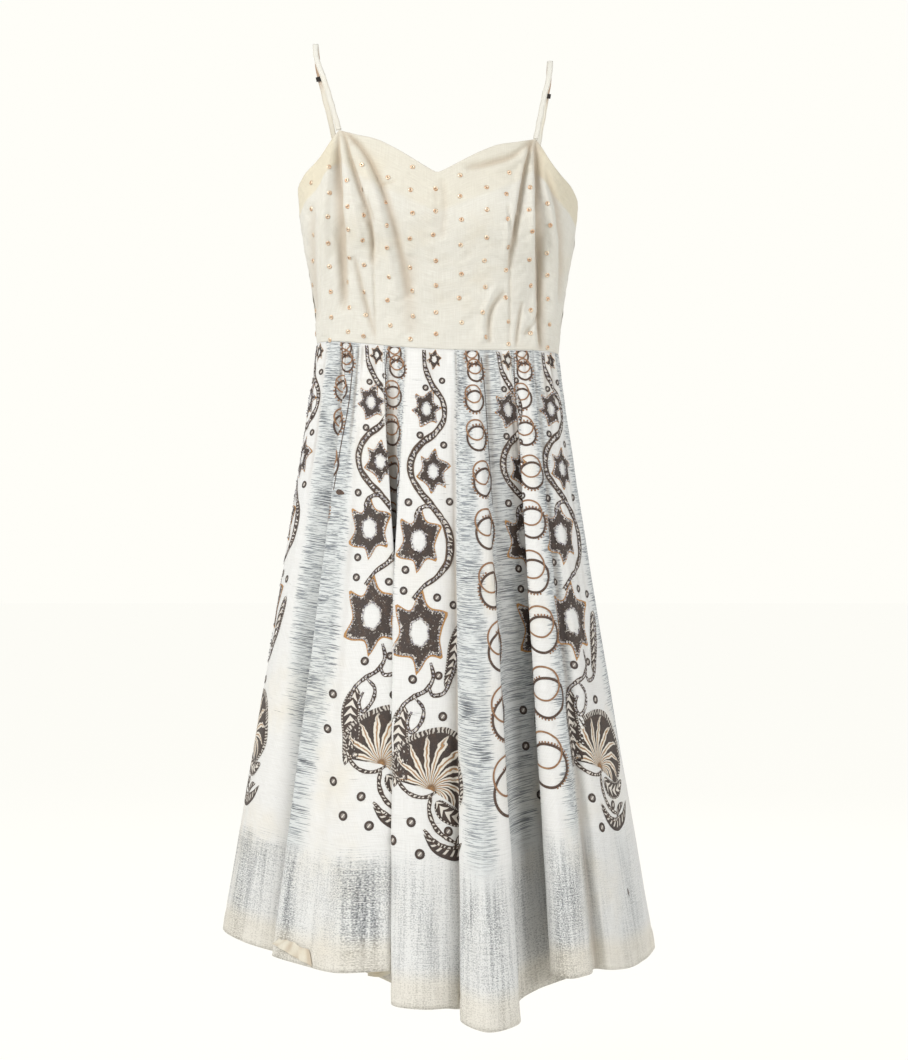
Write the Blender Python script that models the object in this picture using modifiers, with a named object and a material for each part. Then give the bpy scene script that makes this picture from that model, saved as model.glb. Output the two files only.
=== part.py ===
"""Strapped fiesta sundress, hanging full and open, as hollow walls of cloth.

Metres, +Z up.  The front faces -Y, and -X is the left of someone who looks at the front.
The origin lies midway between the tops of the two shoulder straps, where the dress is held.
The bodice is lofted through rings that grow from the waist to the bust.  The skirt runs from
the waist ring to a hem line whose folds are listed one by one on the front and follow a
rule on the back.  Every panel, facing and hem is an open sheet that is then thickened inwards.
"""
import math

import bpy
import numpy as np
from mathutils import Matrix, Vector

MM = 0.001

# cloth
WALL = 1.5 * MM                 # a panel of cloth, with its turnings
LINING = 1.0 * MM               # facings, the hem's turn-up and the placket
SEAM = 0.5 * MM                 # between two panels that are sewn together
LAY = 0.8 * MM                  # between a panel and the hem's turn-up that lies on it
FACING_LAY = 0.9 * MM           # facings bridge the small hollows of a panel

# the ring at each height of the bodice
CENTRE_X = 6 * MM               # the bodice hangs a little to the right of its straps
SQUARE = 2.3                    # 2 is an ellipse, more is squarer
LEAN = 0.045                    # fall in height for each metre to the right
WAIST_Z = -351 * MM
WAIST_DIP = 4.5 * MM            # the seam dips at the centre front
BUST_ANGLE = 31.0               # degrees from the centre front
BUST_Z = -205 * MM
BUST_FULLNESS = 12 * MM
BUST_SPREAD = (21.0, 38 * MM)   # degrees round the ring, and height

# skirt
FLARE_POWER = 1.06              # 1 runs straight from waist to hem
HEM_SHARE = 0.036               # share of the skirt's height that is turned up, about 26 mm
BACK_FOLDS = 6
BACK_FOLD_ROWS = 6              # rows that one back fold is drawn through
BACK_PINCH = 0.018              # how much the mouths of the back folds close, in radians
BACK_REACH = 172 * MM           # how far the back hem stands out behind the side seams' line
BACK_DEPTH = 70 * MM
BACK_DROP = 76 * MM             # the back hem hangs lower than the side seams

# straps
STRAP_WIDTH = 6.5 * MM
STRAP_THICK = 1.6 * MM
STRAP_ANGLE = 40.3              # degrees from the centre front, the neckline's corner
STRAP_BACK_ANGLE = 142.0
STRAP_TOP = {"left": (-138 * MM, 10 * MM), "right": (138 * MM, -10 * MM)}
STRAP_FRONT_END = 0.6 * MM      # the strap's front end keeps this much above the edge
STRAP_BACK_END = 1.5 * MM       # the back end slants across the edge, so it keeps more
STRAP_ARCH = 12 * MM            # half the depth of the loop at its top
SLIDE = (10 * MM, 5.5 * MM, 3.8 * MM)   # width, height, thickness
SLIDE_STEP = 32 * MM            # below the strap's top, on its back stretch
SLIDE_RIM = 1.2 * MM
SLIDE_SLOT = 2.4 * MM           # clears the strap's thickness

# placket over the centre-back opening
PLACKET_WIDTH = 22 * MM
PLACKET_LAY = 1.35 * MM
PLACKET_WAIST = 0.6             # share of the placket's length that lies on the bodice
PLACKET_END = 0.16              # share of the skirt's height that it reaches down

CREAM = (0.83, 0.80, 0.70, 1.0)
WHITE = (0.82, 0.82, 0.78, 1.0)
DARK = (0.03, 0.03, 0.03, 1.0)

# height, half width, front depth, back depth (mm)
RINGS = (
    ("waist",    -360, 141.5,  61, 54),
    ("ribs",     -312, 145.5,  70, 58),
    ("midriff",  -262, 153.0,  84, 63),
    ("bust",     -207, 162.0,  99, 69),
    ("underarm", -165, 165.0,  97, 73),
    ("shoulder", -105, 165.0,  86, 75),
)

# angle from the centre front (degrees), height (mm), facing width (mm)
NECKLINE = (
    ("centre",       0.0, -159, 46),
    ("beside",       4.2, -150, 48),
    ("slope",       12.0, -135, 52),
    ("crown",       20.4, -123, 54),
    ("outer crown", 31.1, -116, 46),
    ("corner",      40.3, -110, 36),
)
ARMHOLE = (
    ("corner",      40.3, -110, 36),
    ("below strap", 43.4, -118, 34),
    ("slope",       52.0, -140, 34),
    ("scoop",       67.5, -158, 34),
    ("underarm",    78.5, -168, 32),
    ("side seam",   90.0, -172, 30),
    ("back",       125.0, -178, 28),
    ("centre back", 180.0, -184, 28),
)

# soft troughs in the front, from a top to a bottom: angles (degrees), heights and depth (mm),
# width (degrees)
TROUGHS = (
    ("left under strap",  -41, -114, -44, -320, 5.0, 5),
    ("left drape",        -37, -122, -19, -290, 4.0, 6),
    ("right under strap",  43, -116,  47, -340, 6.0, 5),
    ("right drape",        38, -124,  26, -250, 4.5, 6),
)

# waist angle (degrees), then the hem's x, y and z (mm), in order from the left side seam
FRONT_FOLDS = (
    ("left seam",      -90.0, -234,   62, -1040),
    ("left outline",   -79.0, -249,   10, -1034),
    ("left crown",     -70.0, -228,  -52, -1034),
    ("panel 1",        -62.0, -196,  -80, -1040),
    ("tuck A in",      -52.0, -158,  -82, -1048),
    ("tuck A under",   -48.5, -124,  -78, -1052),
    ("tuck A tip",     -46.5, -104,  -86, -1054),
    ("tuck A out",     -45.0, -130, -100, -1052),
    ("fold A",         -43.0, -180, -106, -1044),
    ("panel 2 left",   -38.5, -158, -132, -1046),
    ("panel 2",        -33.0, -108, -162, -1052),
    ("fold B",         -25.0,  -45, -176, -1048),
    ("recess B in",    -23.0,  -54, -144, -1060),
    ("recess B deep",  -20.5,  -72,  -88, -1070),
    ("recess B tip",   -18.5,  -62,  -68, -1074),
    ("recess B back",  -16.5,  -48,  -84, -1076),
    ("recess B out",   -13.5,  -38, -146, -1080),
    ("panel 3 left",   -11.0,  -42, -191, -1082),
    ("panel 3",         -2.0,   -4, -202, -1084),
    ("panel 3 right",    2.0,   19, -196, -1084),
    ("tuck C in",        3.5,   29, -190, -1086),
    ("tuck C",           4.5,   35, -184, -1087),
    ("tuck C out",       5.5,   37, -193, -1089),
    ("fold C",           6.5,   32, -208, -1094),
    ("tube crown",       8.5,   60, -234, -1101),
    ("fold D",          13.0,   93, -212, -1098),
    ("recess D",        17.0,   96, -160, -1086),
    ("recess D deep",   20.0,  112, -122, -1082),
    ("tuck E in",       23.0,  134, -101, -1078),
    ("tuck E under",    26.5,  166,  -74, -1072),
    ("tuck E tip",      30.0,  194,  -52, -1066),
    ("tuck E back",     31.5,  198,  -66, -1062),
    ("tuck E over",     33.0,  174,  -96, -1060),
    ("tuck E out",      34.5,  146, -124, -1058),
    ("fold E",          36.5,  132, -148, -1056),
    ("panel 5 crown",   41.5,  152, -166, -1058),
    ("panel 5 right",   46.5,  174, -154, -1056),
    ("tuck F",          51.0,  184, -120, -1056),
    ("fold F",          57.0,  196, -126, -1056),
    ("panel 6",         65.0,  222,  -96, -1060),
    ("right crown",     72.0,  246,  -54, -1058),
    ("right outline",   80.0,  262,    8, -1052),
    ("right seam",      90.0,  248,   60, -1056),
)

# how far a fold bows to the right between the waist and the hem (mm)
BOWS = {
    "fold B": 12,
    "recess B in": 10,
    "recess B deep": 4,
    "recess B out": -7,
    "panel 3 left": -7.5,
    "tube crown": 3,
    "fold D": 6,
    "recess D": 4,
}
# share of the way down the skirt, share of the bow
BOW_LINE = (
    ("waist", 0.00, 0.00),
    ("hip",   0.15, 0.40),
    ("knee",  0.38, 1.00),
    ("calf",  0.65, 0.65),
    ("hem",   1.00, 0.00),
)

# how finely the sheets are divided
FRONT_STEPS = 3                 # columns between two rows of the front hem's table
BACK_STEPS = 2                  # and of the back's rows
SEAM_STEP = 0.08                # the first column beside a seam, in rows
SKIRT_ROWS = 3
WRAP = 3                        # rows that the closed ring is carried past its seam
BODICE_ROWS = 8
BODICE_COLUMNS = 42
BACK_COLUMNS = 12


def smooth(at, stations, values):
    """Cubic curve through the values, read at the places asked for."""
    at = np.asarray(at, float)
    stations = np.asarray(stations, float)
    values = np.asarray(values, float)
    gaps = np.diff(stations)
    slopes = (np.diff(values, axis=0).T / gaps).T
    bends = np.empty_like(values)
    bends[1:-1] = ((slopes[:-1].T * gaps[1:] + slopes[1:].T * gaps[:-1]) / (gaps[1:] + gaps[:-1])).T
    bends[0], bends[-1] = slopes[0], slopes[-1]
    left = np.clip(np.searchsorted(stations, at, side="right") - 1, 0, len(gaps) - 1)
    gap = gaps[left]
    share = (at - stations[left]) / gap
    if values.ndim > 1:
        gap, share = gap[..., None], share[..., None]
    return ((2 * share**3 - 3 * share**2 + 1) * values[left]
            + (share**3 - 2 * share**2 + share) * gap * bends[left]
            + (3 * share**2 - 2 * share**3) * values[left + 1]
            + (share**3 - share**2) * gap * bends[left + 1])


def columns_of(table, *columns):
    """The numbers in some columns of a table whose first column is a name."""
    return [np.array([row[column] for row in table], float) for column in columns]


# ---------------------------------------------------------------- bodice

def ring_point(angle, height):
    """Points on the bodice's ring, before it leans; 0 degrees is the centre front."""
    level, half_width, front, back = columns_of(RINGS, 1, 2, 3, 4)
    level = level * MM
    across = np.sin(np.radians(angle))
    forward = np.cos(np.radians(angle))
    depth = np.where(forward > 0, smooth(height, level, front), smooth(height, level, back)) * MM
    x = smooth(height, level, half_width) * MM * np.sign(across) * np.abs(across) ** (2 / SQUARE)
    y = -depth * np.sign(forward) * np.abs(forward) ** (2 / SQUARE)
    return x, y


def bump(distance):
    return np.exp(-np.square(distance))


def fullness(angle, height):
    """How far the front stands out at the bust, less its soft troughs."""
    out = BUST_FULLNESS * bump((np.abs(angle) - BUST_ANGLE) / BUST_SPREAD[0])
    out = out * bump((height - BUST_Z) / BUST_SPREAD[1])
    for _, top_angle, top, bottom_angle, bottom, depth, width in TROUGHS:
        down = (top * MM - height) / ((top - bottom) * MM)
        middle = top_angle + (bottom_angle - top_angle) * down
        along = np.clip(1 - np.square(2 * down - 1), 0, 1)
        out = out - depth * MM * along * bump((angle - middle) / width)
    return out


def lean(x):
    return -LEAN * x


def waist_height(angle):
    """Height of the waist seam, before it leans."""
    forward = np.clip(np.cos(np.radians(angle)), 0, 1)
    return WAIST_Z - WAIST_DIP * np.cos(np.radians(2.2 * angle)) * forward


def top_edge(angle):
    """Height of the neckline, armhole and back edge, and the width of the facing under it."""
    turn = np.abs(np.asarray(angle, float))
    turn = np.where(turn > 180, 360 - turn, turn)
    edges = []
    for column in (2, 3):
        inner = smooth(np.clip(turn, 0, STRAP_ANGLE), *columns_of(NECKLINE, 1, column))
        outer = smooth(np.clip(turn, STRAP_ANGLE, 180), *columns_of(ARMHOLE, 1, column))
        edges.append(np.where(turn <= STRAP_ANGLE, inner, outer) * MM)
    return edges


def bodice(angle, height):
    """Points of the bodice's outer face at angles round it and heights before it leans."""
    x, y = ring_point(angle, height)
    outward = np.stack([np.sin(np.radians(angle)), -np.cos(np.radians(angle))])
    front = np.cos(np.radians(angle)) > 0
    out = np.where(front, fullness(angle, height), 0.0)
    x, y = x + out * outward[0], y + out * outward[1]
    return np.stack([CENTRE_X + x, y, height + lean(x)], axis=-1)


def bodice_panel(angle, up):
    """A bodice panel's point: up is 0 at the waist seam and 1 at the top edge."""
    top = top_edge(angle)[0]
    waist = waist_height(angle)
    return bodice(angle, waist + (top - waist) * up)


def facing_panel(angle, up):
    """A facing's point: up is 0 at its lower edge and 1 at the bodice's top edge."""
    top, width = top_edge(angle)
    return bodice(angle, top - width * (1 - up))


# ----------------------------------------------------------------- skirt

def back_folds():
    """Rows for the back hem, in even folds from the right side seam round to the left one."""
    _, right_x, right_y, right_z = FRONT_FOLDS[-1][1:]
    _, left_x, left_y, left_z = FRONT_FOLDS[0][1:]
    middle = (right_x + left_x) / 2
    half = (right_x - left_x) / 2
    level = (right_y + left_y) / 2
    rows = []
    steps = BACK_FOLDS * BACK_FOLD_ROWS
    for step in range(1, steps):
        share = step / steps
        turn = math.pi * share
        fold = 2 * math.pi * BACK_FOLDS * share
        # the folds beside the side seams are shallower
        depth = BACK_DEPTH / MM * (0.36 + 0.64 * math.sin(turn))
        inward = depth * (1 - math.cos(fold)) / 2
        reach = BACK_REACH / MM - level
        # the crests are round: a point beside a crest moves away from it
        pinched = turn + BACK_PINCH * math.sin(fold)
        x = middle + (half - inward) * math.cos(pinched)
        y = level + (reach - inward) * math.sin(pinched)
        z = right_z + (left_z - right_z) * share - BACK_DROP / MM * math.sin(turn) ** 0.9
        rows.append((f"back {step}", 90 + 180 * share, x, y, z + 4 * math.cos(fold)))
    return rows


SKIRT_RING = FRONT_FOLDS + tuple(back_folds()) + (("left seam", 270.0) + FRONT_FOLDS[0][2:],)
FRONT_LAST = len(FRONT_FOLDS) - 1
BACK_MIDDLE = FRONT_LAST + BACK_FOLDS * BACK_FOLD_ROWS // 2
RING_LAST = len(SKIRT_RING) - 1


def ring_stations():
    """Places of the ring's rows along the hem, closer together where the folds are tight."""
    hem = np.stack(columns_of(SKIRT_RING, 2, 3), axis=-1)
    steps = np.linalg.norm(np.diff(hem, axis=0), axis=1) ** 0.75
    return np.concatenate([[0.0], np.cumsum(steps)])


def skirt(row, down):
    """The skirt's outer face: row counts along the ring's table, down is 1 at the hem."""
    stations = ring_stations()
    down = np.asarray(down, float)
    bow = np.array([BOWS.get(name, 0.0) for name, *_ in SKIRT_RING])
    ring = np.stack(columns_of(SKIRT_RING, 1, 2, 3, 4) + [bow], axis=-1)
    # the ring is closed, so its ends are carried past the seam
    before, after, lap = slice(-1 - WRAP, -1), slice(1, 1 + WRAP), np.array([360.0, 0, 0, 0, 0])
    around = np.concatenate([stations[before] - stations[-1], stations, stations[after] + stations[-1]])
    rings = np.concatenate([ring[before] - lap, ring, ring[after] + lap])
    place = np.interp(row, np.arange(len(stations)), stations)
    turn, x, y, z, bow = np.moveaxis(smooth(place, around, rings), -1, 0)
    waist = bodice(turn, waist_height(turn))
    hem = np.stack([x, y, z], axis=-1) * MM
    point = waist + (hem - waist) * (down ** FLARE_POWER)[..., None]
    point[..., 0] += bow * MM * smooth(down, *columns_of(BOW_LINE, 1, 2))
    point[..., 2] = waist[..., 2] + (hem[..., 2] - waist[..., 2]) * down
    return point


def skirt_panel(row, up):
    return skirt(row, 1 - up)


def hem_panel(row, up):
    """The turn-up inside the hem: up is 0 at the hem line and 1 at the stitching."""
    return skirt(row, 1 - up * HEM_SHARE)


def placket_panel(offset, down):
    """The placket's point: offset from the centre back, down from the bodice's top edge."""
    half_width = RINGS[0][2] * MM
    swing = np.arcsin(np.abs(offset / half_width) ** (SQUARE / 2))
    turn = 180 - np.degrees(np.sign(offset) * swing)
    on_bodice = bodice_panel(turn, 1 - np.clip(down / PLACKET_WAIST, 0, 1))
    row = BACK_MIDDLE + (turn - 180) * BACK_FOLDS * BACK_FOLD_ROWS / 180
    below = np.clip((down - PLACKET_WAIST) / (1 - PLACKET_WAIST), 0, 1)
    on_skirt = skirt(row, below * PLACKET_END)
    return np.where((down < PLACKET_WAIST)[..., None], on_bodice, on_skirt)


# ---------------------------------------------------------------- making

def material(name, colour, roughness=0.85, metallic=0.0):
    made = bpy.data.materials.new(name)
    made.use_nodes = True
    shader = made.node_tree.nodes["Principled BSDF"]
    shader.inputs["Base Color"].default_value = colour
    shader.inputs["Roughness"].default_value = roughness
    shader.inputs["Metallic"].default_value = metallic
    return made


def keep(piece, name, colour, roughness=0.85, metallic=0.0):
    """Name a piece, give it its own material and put it in the dress's collection."""
    piece.name = name
    piece.data.name = name
    piece.data.materials.append(material(name, colour, roughness, metallic))
    for old in list(piece.users_collection):
        old.objects.unlink(piece)
    bpy.data.collections["fiesta_dress"].objects.link(piece)
    return piece


def draw_back(points, side, gap):
    """Pull one edge of a net of points back from its seam, along the cloth."""
    net = {"left": points, "right": points[:, ::-1],
           "bottom": points.transpose(1, 0, 2), "top": points[::-1].transpose(1, 0, 2)}[side]
    along = net[:, 1] - net[:, 0]
    net[:, 0] += along / np.linalg.norm(along, axis=-1, keepdims=True) * gap


def sheet(name, form, across, up, colour, thickness=WALL, inset=0.0, sewn=()):
    """A wall of cloth: a grid carried onto its form, then thickened away from the face.

    inset moves the sheet inwards from the form; a negative one moves it outwards, and then
    the thickness grows outwards too."""
    columns, rows = np.meshgrid(across, up)
    points = form(columns, rows)
    for side in sewn:
        # sheets that lie further in meet at a narrower angle, so they stop a little sooner
        draw_back(points, side, SEAM / 2 + max(inset, 0) / 4)
    bpy.ops.mesh.primitive_grid_add(x_subdivisions=len(across) - 1, y_subdivisions=len(up) - 1, size=1)
    piece = bpy.context.object
    for vertex in piece.data.vertices:
        column = round((vertex.co.x + 0.5) * (len(across) - 1))
        row = round((vertex.co.y + 0.5) * (len(up) - 1))
        vertex.co = points[row, column]
    if inset:
        shift = piece.modifiers.new("lie beside the panel", "DISPLACE")
        shift.mid_level = 0.0
        shift.strength = -inset
    wall = piece.modifiers.new("cloth thickness", "SOLIDIFY")
    wall.thickness = thickness
    wall.offset = 1.0 if inset < 0 else -1.0
    piece.data.shade_smooth()
    return keep(piece, name, colour)


def rows_between(first, last, steps):
    """Columns for the skirt from one row of its ring to another, with short ones at its seams."""
    even = np.linspace(first, last, (last - first) * steps + 1)
    return np.concatenate([[first, first + SEAM_STEP], even[1:-1], [last - SEAM_STEP, last]])


def make_bodice():
    up = np.linspace(0, 1, BODICE_ROWS + 1)
    half = BODICE_COLUMNS // 2
    inner = np.linspace(0, STRAP_ANGLE, half // 2 + 2)
    outer = np.linspace(STRAP_ANGLE, 90, half - half // 2)
    quarter = np.concatenate([inner, outer[1:]])
    front = np.concatenate([-quarter[:0:-1], quarter])
    sides = ("left", "right")
    sheet("bodice_front", bodice_panel, front, up, CREAM, sewn=sides + ("bottom",))
    sheet("facing_front", facing_panel, front, np.linspace(0, 1, 3), CREAM,
          LINING, WALL + FACING_LAY, sides)
    halves = {"right": np.linspace(90, 180, BACK_COLUMNS + 1),
              "left": np.linspace(180, 270, BACK_COLUMNS + 1)}
    for side, turn in halves.items():
        sheet(f"bodice_back_{side}", bodice_panel, turn, up, CREAM, sewn=sides + ("bottom",))
        sheet(f"facing_back_{side}", facing_panel, turn, np.linspace(0, 1, 3), CREAM,
              LINING, WALL + FACING_LAY, sides)


def make_skirt():
    panels = {"front": (0, FRONT_LAST, FRONT_STEPS),
              "back_right": (FRONT_LAST, BACK_MIDDLE, BACK_STEPS),
              "back_left": (BACK_MIDDLE, RING_LAST, BACK_STEPS)}
    up = np.concatenate([[0, HEM_SHARE], np.linspace(0, 1, SKIRT_ROWS + 1)[1:]])
    sides = ("left", "right")
    for side, (first, last, steps) in panels.items():
        across = rows_between(first, last, steps)
        sheet(f"skirt_{side}", skirt_panel, across, up, WHITE, sewn=sides + ("top",))
        sheet(f"hem_{side}", hem_panel, across, np.linspace(0.02, 1, 2), CREAM,
              LINING, WALL + LAY, sides)


def make_placket():
    across = np.linspace(0.5, -0.5, 5) * PLACKET_WIDTH
    down = np.concatenate([np.linspace(1, PLACKET_WAIST, 4), np.linspace(PLACKET_WAIST, 0, 9)[1:]])
    sheet("back_placket", placket_panel, across, down, CREAM, LINING, -PLACKET_LAY)


def strap_path(side):
    """Middle line of a strap, from the neckline's corner over its top to the back edge."""
    sign = -1 if side == "left" else 1
    front = Vector(bodice_panel(np.array(sign * STRAP_ANGLE), np.array(1.0)))
    back_turn = STRAP_BACK_ANGLE if sign > 0 else 360 - STRAP_BACK_ANGLE
    back = Vector(bodice_panel(np.array(back_turn), np.array(1.0)))
    # the ends meet the middle of the bodice's wall, just above its edge
    front += Vector((0, WALL / 2, STRAP_FRONT_END))
    back += Vector((0, -WALL / 2, STRAP_BACK_END))
    x, z = STRAP_TOP[side]
    crest = [Vector((x, STRAP_ARCH * math.sin(turn), z - STRAP_ARCH * (1 - math.cos(turn))))
             for turn in np.radians((-65, -33, 0, 33, 65))]
    stations = [front, front.lerp(crest[0], 0.5)] + crest + [crest[-1].lerp(back, 0.5), back]
    gaps = [(b - a).length for a, b in zip(stations, stations[1:])]
    places = np.concatenate([[0.0], np.cumsum(gaps)])
    return places, np.array([tuple(point) for point in stations])


def strap_form(side):
    places, stations = strap_path(side)

    def form(across, along):
        middle = smooth(along * places[-1], places, stations)
        step = smooth(np.clip(along + 0.002, 0, 1) * places[-1], places, stations)
        back = smooth(np.clip(along - 0.002, 0, 1) * places[-1], places, stations)
        heading = step - back
        heading /= np.linalg.norm(heading, axis=-1, keepdims=True)
        sideways = np.array([1.0, 0.0, 0.0]) - heading * heading[..., :1]
        sideways /= np.linalg.norm(sideways, axis=-1, keepdims=True)
        return middle + sideways * (across * STRAP_WIDTH)[..., None]
    return form


def make_strap(side):
    form = strap_form(side)
    along = np.concatenate([np.linspace(0, 0.34, 4), np.linspace(0.37, 0.45, 9),
                            np.linspace(0.48, 0.6, 5), np.linspace(0.7, 1, 3)])
    piece = sheet(f"strap_{side}", form, np.linspace(-0.5, 0.5, 3), along, CREAM, STRAP_THICK)
    piece.modifiers["cloth thickness"].offset = 0.0


def make_slide(side):
    """A small square slide that the strap's back stretch passes through."""
    places, _ = strap_path(side)
    form = strap_form(side)
    share = (places[6] + SLIDE_STEP) / places[-1]
    near, far, edge = (Vector(form(np.array(across), np.array(along))) for across, along in
                       ((0.0, share - 0.005), (0.0, share + 0.005), (0.5, share)))
    centre = (near + far) / 2
    heading = (far - near).normalized()
    sideways = (edge - centre).normalized()
    frame = Matrix((sideways, heading.cross(sideways), heading)).transposed().to_4x4()
    width, height, thick = SLIDE
    boxes = []
    for size in ((width, thick, height), (width - 2 * SLIDE_RIM, SLIDE_SLOT, height * 2)):
        bpy.ops.mesh.primitive_cube_add(size=1)
        box = bpy.context.object
        for vertex in box.data.vertices:
            vertex.co = Vector(a * b for a, b in zip(vertex.co, size))
        box.matrix_world = Matrix.Translation(centre) @ frame
        boxes.append(box)
    plate, slot = boxes
    slot.name = f"slide_slot_{side}"
    slot.hide_render = True
    slot.display_type = "WIRE"
    for old in list(slot.users_collection):
        old.objects.unlink(slot)
    bpy.data.collections["cutters"].objects.link(slot)
    cut = plate.modifiers.new("slot for the strap", "BOOLEAN")
    cut.operation = "DIFFERENCE"
    cut.object = slot
    keep(plate, f"strap_slide_{side}", DARK, 0.4)


def main():
    for old in list(bpy.data.objects):
        bpy.data.objects.remove(old)
    for name in ("fiesta_dress", "cutters"):
        bpy.context.scene.collection.children.link(bpy.data.collections.new(name))
    make_bodice()
    make_skirt()
    make_placket()
    for side in ("left", "right"):
        make_strap(side)
        make_slide(side)


main()
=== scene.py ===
# %% [markdown]
# # A painted fiesta sundress
# The dress is thin cotton that hangs open and full from two narrow straps.  A maker cuts a
# darted bodice, a very full skirt and a few facings, paints the skirt with garlands and
# loops, and sews sequins on by hand.  The frame holds every panel as a plain wall of cloth;
# this lesson gives each one a finer sheet, its creases, its weave and its painted pattern.

# %% Load the frame
import math
from functools import partialmethod

import bpy
import numpy as np
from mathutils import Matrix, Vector


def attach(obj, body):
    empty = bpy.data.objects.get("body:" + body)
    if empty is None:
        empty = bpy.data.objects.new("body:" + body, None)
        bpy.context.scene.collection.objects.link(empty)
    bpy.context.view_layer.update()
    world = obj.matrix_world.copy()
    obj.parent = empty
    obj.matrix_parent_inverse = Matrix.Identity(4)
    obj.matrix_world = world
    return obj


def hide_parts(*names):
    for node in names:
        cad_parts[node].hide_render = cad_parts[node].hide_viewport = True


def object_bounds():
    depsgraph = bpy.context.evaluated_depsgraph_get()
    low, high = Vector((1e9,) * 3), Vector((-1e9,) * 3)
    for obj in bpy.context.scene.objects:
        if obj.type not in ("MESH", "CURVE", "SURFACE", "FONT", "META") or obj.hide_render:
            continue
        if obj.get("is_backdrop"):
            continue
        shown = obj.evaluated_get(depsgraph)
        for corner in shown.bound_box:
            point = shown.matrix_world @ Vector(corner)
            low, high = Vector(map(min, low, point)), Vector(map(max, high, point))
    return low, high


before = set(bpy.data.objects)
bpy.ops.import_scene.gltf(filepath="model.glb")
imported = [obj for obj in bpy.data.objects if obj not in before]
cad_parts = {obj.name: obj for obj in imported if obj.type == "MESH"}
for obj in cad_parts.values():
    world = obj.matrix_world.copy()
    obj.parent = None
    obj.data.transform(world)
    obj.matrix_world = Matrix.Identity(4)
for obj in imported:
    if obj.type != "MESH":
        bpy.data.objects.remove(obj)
cad_low, cad_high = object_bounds()
bpy.ops.object.select_all(action="DESELECT")
MM = 0.001
print("frame of", len(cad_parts), "nodes,", round(cad_high.z - cad_low.z, 3), "m tall")


# %% Small helpers
def unit(vectors):
    """The vectors, each made 1 long."""
    return vectors / np.linalg.norm(vectors, axis=-1, keepdims=True)


def walked(points, axis=0, power=1.0):
    """How far one has walked at each point along an axis of an array of points."""
    steps = np.linalg.norm(np.diff(points, axis=axis), axis=-1) ** power
    return np.cumsum(np.insert(steps, 0, 0.0, axis=axis), axis=axis)


def paired(first, second):
    """Two arrays, stretched to one shape and laid side by side."""
    return np.stack(np.broadcast_arrays(first, second), axis=-1)


def columns_of(table, *columns):
    """The numbers in some columns of a table whose first column is a name."""
    return [np.array([row[column] for row in table], float) for column in columns]


def bell(distance):
    """1 where the distance is 0, and falling smoothly to nothing past 2."""
    return np.exp(-np.square(distance))


def rgb(*levels):
    """A colour written as eight-bit levels, in the linear values that a shader takes."""
    shares = [level / 255 for level in levels]
    return tuple(s / 12.92 if s < 0.04045 else ((s + 0.055) / 1.055) ** 2.4 for s in shares) + (1.0,)


print("unit of", unit(np.array([3.0, 4.0])))

# %% [markdown]
# ## The view and the light
# A garment on white needs a long lens, a level camera and soft light from the front, a
# little stronger from the left, so that each fold shades its right side.  The floor and the
# backdrop answer camera rays with their own pale colour, and so never need extra light.

# %% Camera
CAMERA_AT = Vector((25, -2400, -598)) * MM
LENS = 69.1                 # mm, on a sensor 36 mm tall
SHIFT = 0.0283019           # share of the view's height that the picture is moved up by

bpy.ops.object.camera_add(location=CAMERA_AT, rotation=(math.pi / 2, 0, 0))
camera = bpy.context.object
camera.data.sensor_fit = "VERTICAL"
camera.data.sensor_height = 36
camera.data.lens = LENS
camera.data.shift_y = SHIFT
bpy.context.scene.camera = camera
bpy.context.scene.view_settings.view_transform = "Standard"
print("camera", tuple(round(c, 3) for c in camera.location))


# %% Lamps
MIDDLE = Vector((0, 0, -0.6))   # every lamp looks at this point of the dress

# name, place (m), size (m), watts, colour
LAMPS = (
    ("soft_left",  (-2.0, -1.9, 0.9), 1.1, 60, (1.00, 0.995, 0.985)),
    ("soft_right", (2.3, -1.7, 0.1),  1.5, 28, (0.98, 0.985, 1.000)),
    ("soft_back",  (0.4, 2.4, 0.9),   1.8, 22, (1.00, 1.000, 1.000)),
)
for name, place, size, watts, colour in LAMPS:
    bpy.ops.object.light_add(type="AREA", location=place)
    lamp = bpy.context.object
    lamp.name = name
    lamp.data.shape = "SQUARE"
    lamp.data.size = size
    lamp.data.energy = watts
    lamp.data.color = colour
    lamp.rotation_euler = (MIDDLE - lamp.location).to_track_quat("-Z", "Y").to_euler()
print(len(LAMPS), "soft boxes")

# %% [markdown]
# ## Shader maths as expressions
# A material is a sum of masks.  Written as Python expressions the masks read like formulas,
# so a small class wraps a socket and turns + - * / into Math nodes.

# %% A socket that can be added and multiplied
class Value:
    """A node's output that builds Math nodes when it is used in an expression."""

    def __init__(self, graph, socket):
        self.graph = graph
        self.socket = socket

    def math(self, operation, *others):
        """A Math node that takes this value first."""
        sockets = dict(enumerate((self,) + others))
        return self.graph.add("ShaderNodeMath", {"operation": operation}, sockets)

    __add__ = __radd__ = partialmethod(math, "ADD")
    __mul__ = __rmul__ = partialmethod(math, "MULTIPLY")
    __sub__ = partialmethod(math, "SUBTRACT")
    __truediv__ = partialmethod(math, "DIVIDE")
    __pow__ = partialmethod(math, "POWER")
    __abs__ = partialmethod(math, "ABSOLUTE")

    def __rsub__(self, other):
        return self * -1.0 + other

    def step(self, low, high):
        """0 at low, 1 at high, and smooth between them."""
        sockets = {"Value": self, "From Min": low, "From Max": high}
        return self.graph.add("ShaderNodeMapRange", {"interpolation_type": "SMOOTHSTEP"}, sockets)


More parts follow.
